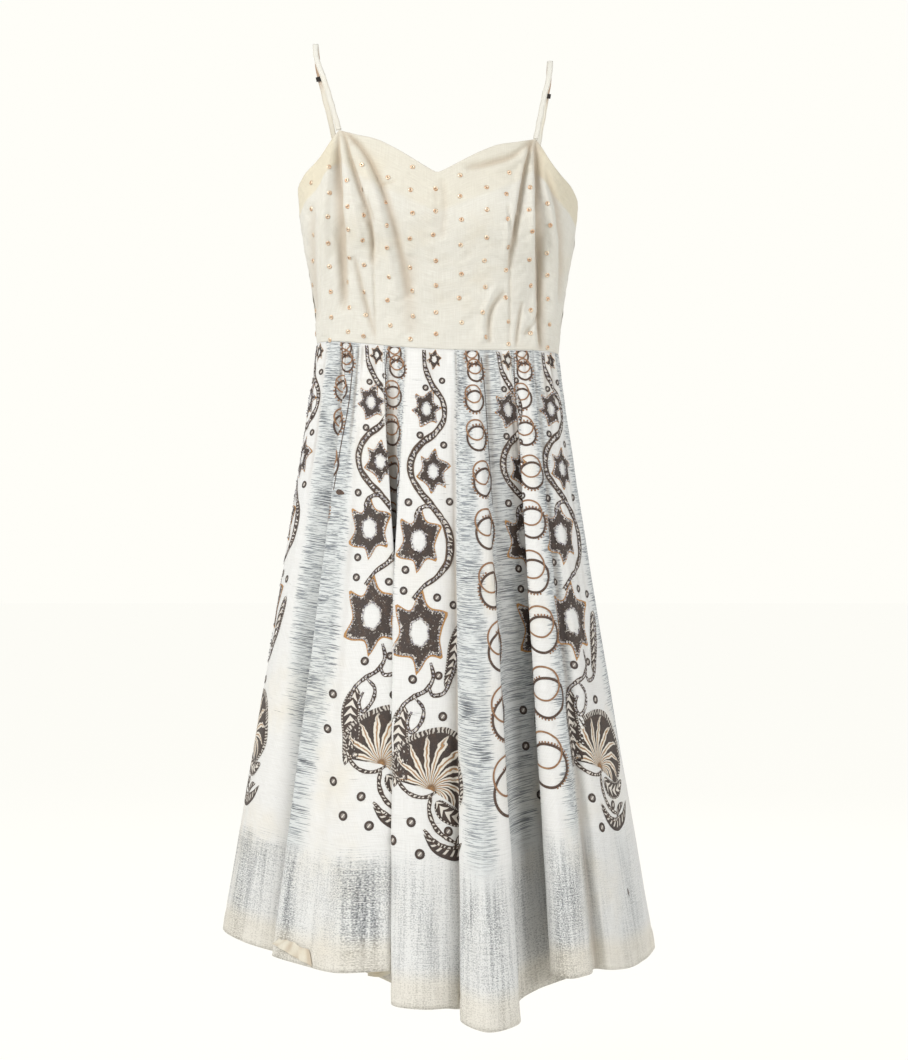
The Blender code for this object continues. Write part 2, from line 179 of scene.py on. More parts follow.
class Nodes:
    """A tree of nodes, and short ways to add to it."""

    def __init__(self, tree):
        self.tree = tree

    def add(self, kind, settings=None, sockets=None, out=0):
        """Any node: its settings are set first, then its sockets get values or links."""
        node = self.tree.nodes.new(kind)
        for key, value in (settings or {}).items():
            setattr(node, key, value)
        for key, value in (sockets or {}).items():
            self.feed(node.inputs[key], value)
        return Value(self, node.outputs[out])

    def feed(self, socket, value):
        """Link a value to a socket, or set the socket's own constant."""
        if isinstance(value, Value):
            self.tree.links.new(value.socket, socket)
        else:
            socket.default_value = value

    def uv(self, name):
        """The two coordinates of a UV map."""
        vector = self.add("ShaderNodeUVMap", {"uv_map": name})
        return [self.add("ShaderNodeSeparateXYZ", None, {0: vector}, axis) for axis in (0, 1)]

    def place(self):
        """The place on the object, in metres."""
        return self.add("ShaderNodeTexCoord", out="Object")

    def vector(self, x, y, z=0.0):
        """Three numbers as one vector."""
        return self.add("ShaderNodeCombineXYZ", None, {0: x, 1: y, 2: z})

    def noise(self, vector, scale=1.0, detail=2.0, roughness=0.5):
        """Smooth noise between 0 and 1, with a mean near a half."""
        sockets = {"Vector": vector, "Scale": scale, "Detail": detail, "Roughness": roughness}
        return self.add("ShaderNodeTexNoise", None, sockets)

    def mix(self, factor, first, second):
        """A colour between two colours."""
        sockets = {0: factor, 6: first, 7: second}
        return self.add("ShaderNodeMix", {"data_type": "RGBA"}, sockets, 2)


class Graph(Nodes):
    """One material: its Principled shader, its colour so far and the nodes that feed them."""

    def __init__(self, name, colour, **inputs):
        """Inputs are the shader's, with _ for each space in a name."""
        self.material = bpy.data.materials.new(name)
        self.material.use_nodes = True
        super().__init__(self.material.node_tree)
        self.shader = self.tree.nodes["Principled BSDF"]
        self.colour = colour
        for key, value in inputs.items():
            self.feed(self.shader.inputs[key.replace("_", " ")], value)

    def coat(self, mask, colour):
        """Lay a colour over what is there, where the mask is above 0."""
        self.colour = self.mix(mask, self.colour, colour)

    def done(self, height, strength, distance):
        """The material, with its colour and a bump."""
        sockets = {"Strength": strength, "Distance": distance, "Height": height}
        self.feed(self.shader.inputs["Base Color"], self.colour)
        self.feed(self.shader.inputs["Normal"], self.add("ShaderNodeBump", None, sockets))
        return self.material


print("materials can be written as expressions")


# %% Floor and backdrop
BACKDROP = rgb(255, 254, 248)
SKY = (0.99, 0.985, 0.97, 1.0)
FLOOR_Z = cad_low.z - 0.16
AMBIENT = 0.50              # strength of the sky's light on the cloth
FLOOR_SHARE = 0.84          # share of the floor's look that is its own glow
FLOOR_GLOW = 1.08           # makes up for the share that doesn't glow


def seen_directly(graph):
    """1 for what the camera, a mirror or a glass sees, 0 for the light that falls on cloth."""
    rays = ("Is Camera Ray", "Is Glossy Ray", "Is Transmission Ray")
    camera_ray, glossy, through = (graph.add("ShaderNodeLightPath", out=ray) for ray in rays)
    return camera_ray.math("MAXIMUM", glossy).math("MAXIMUM", through)


def make_floor():
    """A pale floor that glows a little for the camera only."""
    bpy.ops.mesh.primitive_plane_add(size=60, location=(0, 0, FLOOR_Z))
    floor = bpy.context.object
    floor.name = "floor"
    paint = Graph("pale_floor", None, Base_Color=rgb(238, 237, 232), Roughness=0.9)
    matt = Value(paint, paint.shader.outputs[0])
    glow = paint.add("ShaderNodeEmission", None, {"Color": BACKDROP, "Strength": FLOOR_GLOW})
    soft = paint.add("ShaderNodeMixShader", None, {0: FLOOR_SHARE, 1: matt, 2: glow})
    both = paint.add("ShaderNodeMixShader", None, {0: seen_directly(paint), 1: matt, 2: soft})
    paint.feed(paint.tree.nodes["Material Output"].inputs["Surface"], both)
    floor.data.materials.append(paint.material)
    floor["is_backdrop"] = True


def make_world():
    """A sky that is the backdrop to the camera and soft light to the cloth."""
    world = bpy.data.worlds.new("studio")
    bpy.context.scene.world = world
    world.use_nodes = True
    sky = Nodes(world.node_tree)
    background = sky.tree.nodes["Background"]
    seen = seen_directly(sky)
    sky.feed(background.inputs["Color"], sky.mix(seen, SKY, BACKDROP))
    sky.feed(background.inputs["Strength"], seen * (1.0 - AMBIENT) + AMBIENT)


make_floor()
make_world()
print("floor at", round(FLOOR_Z, 3))

# %% [markdown]
# ## The cut of the dress
# The frame's own sizes come first: rings for the bodice, the neckline and armhole, and a
# few rows for each fold of the hem.  The last column of the folds says where on the painted
# cloth a fold lies: whole numbers are the middles of garlands, halves are chains of loops.

# %% Sizes of the cloth
CENTRE_X = 6 * MM           # where the middle of the bodice lies
SQUARE = 2.3                # power of the bodice's rings: 2 is an ellipse, more is squarer
LEAN = 0.045                # how far the bodice drops for each metre to the right
WAIST_Z = -351 * MM
WAIST_DIP = 4.5 * MM        # the waist seam is this much lower at the centre front
BUST_ANGLE = 31.0           # degrees from the centre front
BUST_Z = -205 * MM
BUST_FULLNESS = 12 * MM
BUST_SPREAD = (21.0, 38 * MM)   # half width in degrees, and half height
FLARE_POWER = 1.06          # 1 is a straight flare, more flares late
BACK_FOLDS = 6
BACK_FOLD_ROWS = 6          # rows of the ring's table in each fold behind
BACK_PINCH = 0.018          # how far the necks of the folds are drawn together
BACK_REACH = 172 * MM       # how far back the hem reaches
BACK_DEPTH = 70 * MM        # depth of the deepest fold behind
BACK_SHALLOW = 0.36         # share of that depth that a fold has at the side seams
BACK_DROP = 76 * MM         # the hem hangs this much lower at the centre back
BACK_WAVE = 4               # and this much higher on each fold's crown (mm)
STRAP_ANGLE = 40.3          # degrees from the centre front
STRAP_BACK_ANGLE = 142.0
STRAP_TOP = {"left": (-138 * MM, 10 * MM), "right": (138 * MM, -10 * MM)}
STRAP_ARCH = 12 * MM        # radius of the strap's bend at its top
STRAP_WIDTH = 6.5 * MM
WALL = 1.5 * MM             # thickness of a panel in the frame
REPEATS = 8                 # garlands round the skirt

# height, half width, front depth, back depth (mm)
RINGS = (
    ("waist",    -360, 141.5,  61, 54),
    ("ribs",     -312, 145.5,  70, 58),
    ("midriff",  -262, 153.0,  84, 63),
    ("bust",     -207, 162.0,  99, 69),
    ("underarm", -165, 165.0,  97, 73),
    ("shoulder", -105, 165.0,  86, 75),
)

# angle from the centre front (degrees), height (mm), facing width (mm)
NECKLINE = (
    ("centre",       0.0, -159, 46),
    ("beside",       4.2, -150, 48),
    ("slope",       12.0, -135, 52),
    ("crown",       20.4, -123, 54),
    ("outer crown", 31.1, -116, 46),
    ("corner",      40.3, -110, 36),
)
ARMHOLE = (
    ("corner",      40.3, -110, 36),
    ("below strap", 43.4, -118, 34),
    ("slope",       52.0, -140, 34),
    ("scoop",       67.5, -158, 34),
    ("underarm",    78.5, -168, 32),
    ("side seam",   90.0, -172, 30),
    ("back",       125.0, -178, 28),
    ("centre back", 180.0, -184, 28),
)

# soft troughs in the front, from a top to a bottom: angles (degrees), heights and depth (mm),
# width (degrees)
TROUGHS = (
    ("left under strap",  -41, -114, -44, -320, 5.0, 5),
    ("left drape",        -37, -122, -19, -290, 4.0, 6),
    ("right under strap",  43, -116,  47, -340, 6.0, 5),
    ("right drape",        38, -124,  26, -250, 4.5, 6),
)

# waist angle (degrees), the hem's x, y and z (mm), place in the painted pattern (repeats)
FRONT_FOLDS = (
    ("left seam",      -90.0, -234,   62, -1040, -2.19),
    ("left outline",   -79.0, -249,   10, -1034, -2.05),
    ("left crown",     -70.0, -228,  -52, -1034, -1.92),
    ("panel 1",        -62.0, -196,  -80, -1040, -1.80),
    ("tuck A in",      -52.0, -158,  -82, -1048, -1.69),
    ("tuck A under",   -48.5, -124,  -78, -1052, -1.60),
    ("tuck A tip",     -46.5, -104,  -86, -1054, -1.54),
    ("tuck A out",     -45.0, -130, -100, -1052, -1.47),
    ("fold A",         -43.0, -180, -106, -1044, -1.37),
    ("panel 2 left",   -38.5, -158, -132, -1046, -1.27),
    ("panel 2",        -33.0, -108, -162, -1052, -1.10),
    ("fold B",         -25.0,  -45, -176, -1048, -0.95),
    ("recess B in",    -23.0,  -54, -144, -1060, -0.83),
    ("recess B deep",  -20.5,  -72,  -88, -1070, -0.62),
    ("recess B tip",   -18.5,  -62,  -68, -1074, -0.55),
    ("recess B back",  -16.5,  -48,  -84, -1076, -0.48),
    ("recess B out",   -13.5,  -38, -146, -1080, -0.28),
    ("panel 3 left",   -11.0,  -42, -191, -1082, -0.15),
    ("panel 3",         -2.0,   -4, -202, -1084, -0.01),
    ("panel 3 right",    2.0,   19, -196, -1084,  0.07),
    ("tuck C in",        3.5,   29, -190, -1086,  0.11),
    ("tuck C",           4.5,   35, -184, -1087,  0.14),
    ("tuck C out",       5.5,   37, -193, -1089,  0.17),
    ("fold C",           6.5,   32, -208, -1094,  0.22),
    ("tube crown",       8.5,   60, -234, -1101,  0.35),
    ("fold D",          13.0,   93, -212, -1098,  0.49),
    ("recess D",        17.0,   96, -160, -1086,  0.61),
    ("recess D deep",   20.0,  112, -122, -1082,  0.66),
    ("tuck E in",       23.0,  134, -101, -1078,  0.72),
    ("tuck E under",    26.5,  166,  -74, -1072,  0.84),
    ("tuck E tip",      30.0,  194,  -52, -1066,  0.99),
    ("tuck E back",     31.5,  198,  -66, -1062,  1.06),
    ("tuck E over",     33.0,  174,  -96, -1060,  1.21),
    ("tuck E out",      34.5,  146, -124, -1058,  1.34),
    ("fold E",          36.5,  132, -148, -1056,  1.43),
    ("panel 5 crown",   41.5,  152, -166, -1058,  1.52),
    ("panel 5 right",   46.5,  174, -154, -1056,  1.61),
    ("tuck F",          51.0,  184, -120, -1056,  1.75),
    ("fold F",          57.0,  196, -126, -1056,  1.86),
    ("panel 6",         65.0,  222,  -96, -1060,  2.03),
    ("right crown",     72.0,  246,  -54, -1058,  2.17),
    ("right outline",   80.0,  262,    8, -1052,  2.30),
    ("right seam",      90.0,  248,   60, -1056,  2.42),
)

# how far a fold bows to the right between the waist and the hem (mm)
BOWS = {
    "fold B": 12,
    "recess B in": 10,
    "recess B deep": 4,
    "recess B out": -7,
    "panel 3 left": -7.5,
    "tube crown": 3,
    "fold D": 6,
    "recess D": 4,
}
# share of the way down the skirt, share of the bow
BOW_LINE = (
    ("waist", 0.00, 0.00),
    ("hip",   0.15, 0.40),
    ("knee",  0.38, 1.00),
    ("calf",  0.65, 0.65),
    ("hem",   1.00, 0.00),
)
WRAP = 3                    # rows that the closed ring is carried past its seam
print(len(FRONT_FOLDS), "rows for the front hem and", BACK_FOLDS, "folds behind")


# %% Smooth curves and the bodice's form
def smooth(at, stations, values):
    """Cubic curve through the values, read at the places asked for."""
    at, stations, values = (np.asarray(some, float) for some in (at, stations, values))
    gaps = np.diff(stations)
    slopes = (np.diff(values, axis=0).T / gaps).T
    bends = np.empty_like(values)
    bends[1:-1] = ((slopes[:-1].T * gaps[1:] + slopes[1:].T * gaps[:-1]) / (gaps[1:] + gaps[:-1])).T
    bends[0], bends[-1] = slopes[0], slopes[-1]
    left = np.clip(np.searchsorted(stations, at, side="right") - 1, 0, len(gaps) - 1)
    gap = gaps[left]
    share = (at - stations[left]) / gap
    if values.ndim > 1:
        gap, share = gap[..., None], share[..., None]
    return ((2 * share**3 - 3 * share**2 + 1) * values[left]
            + (share**3 - 2 * share**2 + share) * gap * bends[left]
            + (3 * share**2 - 2 * share**3) * values[left + 1]
            + (share**3 - share**2) * gap * bends[left + 1])


def ring_point(angle, height):
    """Points on the bodice's ring, before it leans; 0 degrees is the centre front."""
    level, half_width, front, back = columns_of(RINGS, 1, 2, 3, 4)
    level = level * MM
    across = np.sin(np.radians(angle))
    forward = np.cos(np.radians(angle))
    depth = np.where(forward > 0, smooth(height, level, front), smooth(height, level, back)) * MM
    x = smooth(height, level, half_width) * MM * np.sign(across) * np.abs(across) ** (2 / SQUARE)
    y = -depth * np.sign(forward) * np.abs(forward) ** (2 / SQUARE)
    return x, y


def fullness(angle, height):
    """How far the front stands out at the bust, less its soft troughs."""
    out = BUST_FULLNESS * bell((np.abs(angle) - BUST_ANGLE) / BUST_SPREAD[0])
    out = out * bell((height - BUST_Z) / BUST_SPREAD[1])
    for _, top_angle, top, bottom_angle, bottom, depth, width in TROUGHS:
        down = (top * MM - height) / ((top - bottom) * MM)
        middle = top_angle + (bottom_angle - top_angle) * down
        along = np.clip(1 - np.square(2 * down - 1), 0, 1)
        out = out - depth * MM * along * bell((angle - middle) / width)
    return out


def waist_height(angle):
    """Height of the waist seam, before it leans."""
    forward = np.clip(np.cos(np.radians(angle)), 0, 1)
    return WAIST_Z - WAIST_DIP * np.cos(np.radians(2.2 * angle)) * forward


def top_edge(angle):
    """Height of the neckline, armhole and back edge, and the width of the facing under it."""
    turn = np.abs(np.asarray(angle, float))
    turn = np.where(turn > 180, 360 - turn, turn)
    edges = []
    for column in (2, 3):
        inner = smooth(np.clip(turn, 0, STRAP_ANGLE), *columns_of(NECKLINE, 1, column))
        outer = smooth(np.clip(turn, STRAP_ANGLE, 180), *columns_of(ARMHOLE, 1, column))
        edges.append(np.where(turn <= STRAP_ANGLE, inner, outer) * MM)
    return edges


def bodice(angle, height):
    """Points of the bodice's outer face at angles round it and heights before it leans."""
    x, y = ring_point(angle, height)
    out = np.where(np.cos(np.radians(angle)) > 0, fullness(angle, height), 0.0)
    x = x + out * np.sin(np.radians(angle))
    y = y - out * np.cos(np.radians(angle))
    return np.stack([CENTRE_X + x, y, height - LEAN * x], axis=-1)


print("bodice is", round(2 * ring_point(np.array(90.0), WAIST_Z)[0] / MM), "mm wide at the waist")


# %% The skirt's form
def back_folds():
    """Rows for the back hem, in even folds from the right side seam round to the left one."""
    right_x, right_y, right_z, right_place = FRONT_FOLDS[-1][2:]
    left_x, left_y, left_z, left_place = FRONT_FOLDS[0][2:]
    middle = (right_x + left_x) / 2
    half = (right_x - left_x) / 2
    level = (right_y + left_y) / 2
    rows = []
    steps = BACK_FOLDS * BACK_FOLD_ROWS
    for step in range(1, steps):
        share = step / steps
        turn = math.pi * share
        fold = 2 * math.pi * BACK_FOLDS * share
        depth = BACK_DEPTH / MM * (BACK_SHALLOW + (1 - BACK_SHALLOW) * math.sin(turn))
        inward = depth * (1 - math.cos(fold)) / 2
        reach = BACK_REACH / MM - level
        pinched = turn + BACK_PINCH * math.sin(fold)
        x = middle + (half - inward) * math.cos(pinched)
        y = level + (reach - inward) * math.sin(pinched)
        z = right_z + (left_z - right_z) * share - BACK_DROP / MM * math.sin(turn) ** 0.9
        place = right_place + (left_place + REPEATS - right_place) * share
        rows.append((f"back {step}", 90 + 180 * share, x, y, z + BACK_WAVE * math.cos(fold), place))
    return rows


LEFT_SEAM = ("left seam", 270.0) + FRONT_FOLDS[0][2:5] + (FRONT_FOLDS[0][5] + REPEATS,)
SKIRT_RING = FRONT_FOLDS + tuple(back_folds()) + (LEFT_SEAM,)
FRONT_LAST = len(FRONT_FOLDS) - 1
BACK_MIDDLE = FRONT_LAST + BACK_FOLDS * BACK_FOLD_ROWS // 2
RING_LAST = len(SKIRT_RING) - 1


def ring_stations():
    """Places of the ring's rows along the hem, closer together where the folds are tight."""
    return walked(np.stack(columns_of(SKIRT_RING, 2, 3), axis=-1), power=0.75)


def skirt(row, down):
    """The skirt's outer face: row counts along the ring's table, down is 1 at the hem."""
    stations = ring_stations()
    down = np.asarray(down, float)
    bow = np.array([BOWS.get(name, 0.0) for name, *_ in SKIRT_RING])
    ring = np.stack(columns_of(SKIRT_RING, 1, 2, 3, 4) + [bow], axis=-1)
    # the ring is closed, so its ends are carried past the seam
    before, after, lap = slice(-1 - WRAP, -1), slice(1, 1 + WRAP), np.array([360.0, 0, 0, 0, 0])
    around = np.concatenate([stations[before] - stations[-1], stations, stations[after] + stations[-1]])
    rings = np.concatenate([ring[before] - lap, ring, ring[after] + lap])
    place = np.interp(row, np.arange(len(stations)), stations)
    turn, x, y, z, bow = np.moveaxis(smooth(place, around, rings), -1, 0)
    waist = bodice(turn, waist_height(turn))
    hem = np.stack([x, y, z], axis=-1) * MM
    point = waist + (hem - waist) * (down ** FLARE_POWER)[..., None]
    point[..., 0] += bow * MM * smooth(down, *columns_of(BOW_LINE, 1, 2))
    point[..., 2] = waist[..., 2] + (hem[..., 2] - waist[..., 2]) * down
    return point


def ripples(x, y, wave_x, wave_y, seed, count=14):
    """Uneven soft waves: a sum of sines with seeded directions, about 1 high."""
    draw = np.random.default_rng(seed)
    total = 0.0
    for _ in range(count):
        turn_x, turn_y = draw.uniform(0.5, 1.6, 2) * draw.choice((-1, 1), 2)
        phase = draw.uniform(0, 2 * math.pi)
        total = total + np.sin(2 * math.pi * (x / wave_x * turn_x + y / wave_y * turn_y) + phase)
    return total / math.sqrt(count)


print(len(SKIRT_RING), "rows round the hem")

# %% [markdown]
# ## Nets of cloth
# Every panel is a net: rows and columns of points on the dress's form.  One dense net holds
# the whole skirt, so its three panels, their hems and all the paint share the same points
# and never cut through each other.  Creases are soft troughs and ridges, each with its own
# length, depth and width, moved along the cloth's normals before any sheet is made.

# %% The net class
class Net:
    """Points, normals and lengths along the rows of a sheet of cloth."""

    def __init__(self, points, closed=False):
        self.points = points
        self.closed = closed
        self.measure()

    def measure(self):
        across = np.gradient(self.points, axis=1)
        if self.closed:
            ends = self.points[:, 1] - self.points[:, -2]
            across[:, 0] = across[:, -1] = ends / 2
        down = np.gradient(self.points, axis=0)
        self.normals = unit(np.cross(down, across))
        self.arcs = walked(self.points, axis=1)

    def push(self, out):
        """Move every point along its normal, and measure the net again."""
        self.points = self.points + self.normals * out[..., None]
        self.measure()

    def part(self, columns, rows=slice(None), inset=0.0):
        """A net made of some of this one's rows and columns, moved inwards."""
        return Net((self.points - self.normals * inset)[rows, columns])


# how far along the cloth a recess is compared with what is beside it, and how deep it is
# at the waist and at the hem when its painted shade is darkest (mm)
HOLLOWS = (
    ("fold",   32, 7.0, 26.0),
    ("crease",  8, 1.6,  4.5),
)
HOLLOW_STEPS = 1800         # even steps round the skirt that the mean is taken over


def hollows(net):
    """0 on the crowns of the folds and up to 1 deep between them, where shade is painted into the colour."""
    painted_shading = np.zeros(net.arcs.shape)
    for _, far, shallow, deep in HOLLOWS:
        found = np.zeros(net.arcs.shape)
        for row, (points, arcs) in enumerate(zip(net.points[..., :2], net.arcs)):
            at = np.linspace(0, arcs[-1], HOLLOW_STEPS)
            even = np.stack([np.interp(at, arcs, values) for values in points.T])
            reach = far * MM / at[1]
            window = bell(np.arange(-int(2 * reach), int(2 * reach) + 1) / reach)
            pad = len(window) // 2
            wrapped = np.concatenate([even[:, -1 - pad:-1], even, even[:, 1:1 + pad]], axis=1)
            means = [np.convolve(values, window / window.sum(), "valid") for values in wrapped]
            away = np.stack([np.interp(arcs, at, mean) for mean in means], axis=-1) - points
            found[row] = np.sum(away * net.normals[row, :, :2], axis=-1)
        full = np.linspace(shallow, deep, len(found))[:, None] * MM
        painted_shading = np.maximum(painted_shading, np.clip(found / full, 0, 1))
    return painted_shading


print("hollows are looked for", " and ".join(f"{row[1]} mm" for row in HOLLOWS), "to each side")

# %% [markdown]
# ## Sheets
# A sheet starts as a grid primitive.  Its vertices are carried onto a net, a Solidify
# modifier gives the cotton its thickness, and three UV maps go with it: `thread` holds metres
# along the cloth for the weave, `pattern` holds the place in what is painted on it, and
# `hollow` says where shade is painted into the colour of the folds and creases.

# %% From a grid to a sheet
COTTON = 0.55 * MM          # thickness of one layer
SEAM_GAP = 0.25 * MM        # a panel stops this far from its side seams


def set_uv(mesh, name, values):
    """Give each corner of the mesh's faces its vertex's pair of values."""
    corner = np.empty(len(mesh.loops), int)
    mesh.loops.foreach_get("vertex_index", corner)
    layer = mesh.uv_layers.get(name) or mesh.uv_layers.new(name=name)
    layer.data.foreach_set("uv", np.asarray(values, np.float32)[corner].ravel())


def finish_piece(piece, name, look):
    piece.name = name
    piece.data.name = name
    piece.data.materials.clear()
    piece.data.materials.append(look)
    piece.data.shade_smooth()
    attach(piece, "root")
    return piece


def sheet(name, points, thread, pattern, look, slot, thickness=COTTON, hollow=None):
    """A sheet of cloth whose outer face is a net of points, thickened inwards."""
    faces_down, faces_across = points.shape[0] - 1, points.shape[1] - 1
    bpy.ops.object.select_all(action="DESELECT")
    bpy.ops.mesh.primitive_grid_add(x_subdivisions=faces_across, y_subdivisions=faces_down, size=1)
    piece = bpy.context.object
    mesh = piece.data
    flat = np.empty(len(mesh.vertices) * 3)
    mesh.vertices.foreach_get("co", flat)
    flat = flat.reshape(-1, 3)
    column = np.rint((flat[:, 0] + 0.5) * faces_across).astype(int)
    row = np.rint((0.5 - flat[:, 1]) * faces_down).astype(int)
    mesh.vertices.foreach_set("co", points[row, column].ravel())
    while mesh.uv_layers:
        mesh.uv_layers.remove(mesh.uv_layers[0])
    hollow = np.zeros(points.shape[:2]) if hollow is None else hollow
    for label, values in (("thread", thread), ("pattern", pattern), ("hollow", paired(hollow, 0.0))):
        set_uv(mesh, label, values[row, column])
    mesh.update()
    wall = piece.modifiers.new("one layer of cotton", "SOLIDIFY")
    wall.thickness = thickness
    wall.offset = -1.0
    bpy.ops.object.modifier_apply(modifier=wall.name)
    return finish_piece(piece, name, look)


def threads_of(net):
    """Metres along the cloth, from the middle column and from the top row."""
    middle = net.arcs.shape[1] // 2
    return paired(net.arcs - net.arcs[:, middle:middle + 1], walked(net.points[:, middle])[:, None])


def seamed(net):
    """The net's points with its side columns pulled back from the seams."""
    points = net.points.copy()
    for column, beside in ((0, 1), (-1, -2)):
        points[:, column] += unit(points[:, beside] - points[:, column]) * SEAM_GAP
    return points


def sewn(label, net, pattern, look, hollow=None):
    """A panel's sheet between its seams, and the node it stands for."""
    piece = sheet(label + "_cloth", seamed(net), threads_of(net), pattern, look, label, hollow=hollow)
    declare(label)


def declare(name):
    """Hide the frame's node that the sheet stands for."""
    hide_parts(name)


print("cotton is", COTTON / MM, "mm thick")

# %% [markdown]
# ## Cotton
# Plain-woven cotton is two sets of threads that pass over and under each other.  Slubs make
# some threads thicker, and years of hanging leave warm and grey patches.  The weave feeds a
# bump and a slight change of colour; both read the sheet's own thread coordinates.

# %% Weave and ageing
THREAD = 0.62 * MM          # distance between two threads


def weave(graph):
    """Height of the threads, and how thick the threads are from place to place."""
    across, along = graph.uv("thread")
    wave_x, wave_y = (abs((way * (math.pi / THREAD)).math("SINE")) for way in (across, along))
    weft = graph.noise(graph.vector(across * 45.0, along * 1500.0))
    warp = graph.noise(graph.vector(across * 1500.0, along * 45.0, 4.0))
    return wave_x * wave_y, weft * 0.55 + warp * 0.45


def age(graph, warm, grey):
    """Warm and grey patches, by the place on the object."""
    place = graph.place()
    graph.coat(graph.noise(place, 7.0, 4.0, 0.6).step(0.48, 0.75) * 0.7, warm)
    graph.coat(graph.noise(place, 2.6, 3.0, 0.5).step(0.5, 0.8) * 0.6, grey)


def finish_cloth(graph, threads, slubs, painted_shading, thin, relief):
    """Painted shade in the hollows, darker thin threads with a little painted shade between them, and the
    relief of threads, slubs and dents.
    """
    shade_share, shade_colour = painted_shading
    # painted shade: the colour darkens towards a brown where a fold or crease is deep
    graph.coat(graph.uv("hollow")[0] * shade_share, shade_colour)
    low, high, thin_share, thin_and_shade_colour = thin
    # thin threads are darker, and a little painted shade is laid where the weave dips between threads
    graph.coat(slubs.step(low, high) * thin_share + (1.0 - threads) * 0.05, thin_and_shade_colour)
    dents = graph.noise(graph.place(), 62.0, 3.0, 0.55)
    return graph.done(threads * 0.35 + slubs * relief[0] + dents * relief[1], 0.5, 0.5 * MM)


def cotton(name, base, warm, grey, shadow=None):
    """Plain cotton; shadow is a colour that shows through where a facing lies behind."""
    graph = Graph(name, base, Roughness=0.86, Sheen_Weight=0.12, Sheen_Roughness=0.5,
                  Specular_IOR_Level=0.25)
    threads, slubs = weave(graph)
    age(graph, warm, grey)
    if shadow:
        turn, below = graph.uv("pattern")
        backed = 1.0 - below.step(0.90, 1.06)
        armhole = abs(turn).step(0.45, 0.50)
        graph.coat(backed * (armhole * 0.30 + 0.18), shadow)
    # a warm brown painted shade in the creases
    return finish_cloth(graph, threads, slubs, painted_shading=(0.50, rgb(176, 152, 124)),
                        thin=(0.62, 0.40, 0.16, rgb(168, 156, 134)), relief=(0.9, 2.4))


CREAM_BASE = rgb(228, 226, 217)
cream = cotton("cream_cotton", CREAM_BASE, rgb(228, 218, 196), rgb(218, 217, 210), rgb(226, 212, 174))
plain = cotton("plain_cotton", rgb(236, 229, 208), rgb(234, 214, 172), rgb(222, 214, 196))
inside = cotton("facing_cotton", rgb(233, 220, 186), rgb(230, 204, 150), rgb(216, 206, 182))
print("three cottons")

# %% [markdown]
# ## The bodice
# The front is one darted panel between two side seams.  Its creases come from how it hangs:
# drapes that fall from the strap corners, pinches at the tips of the darts, and dents along
# the darts' seams.  Each crease is a line in the front view, with a depth and a width.

# %% Creases of the bodice
CREASE_DEPTH = 1.8          # every depth below is multiplied by this
CREASE_STEPS = 24           # straight steps that a crease is measured along

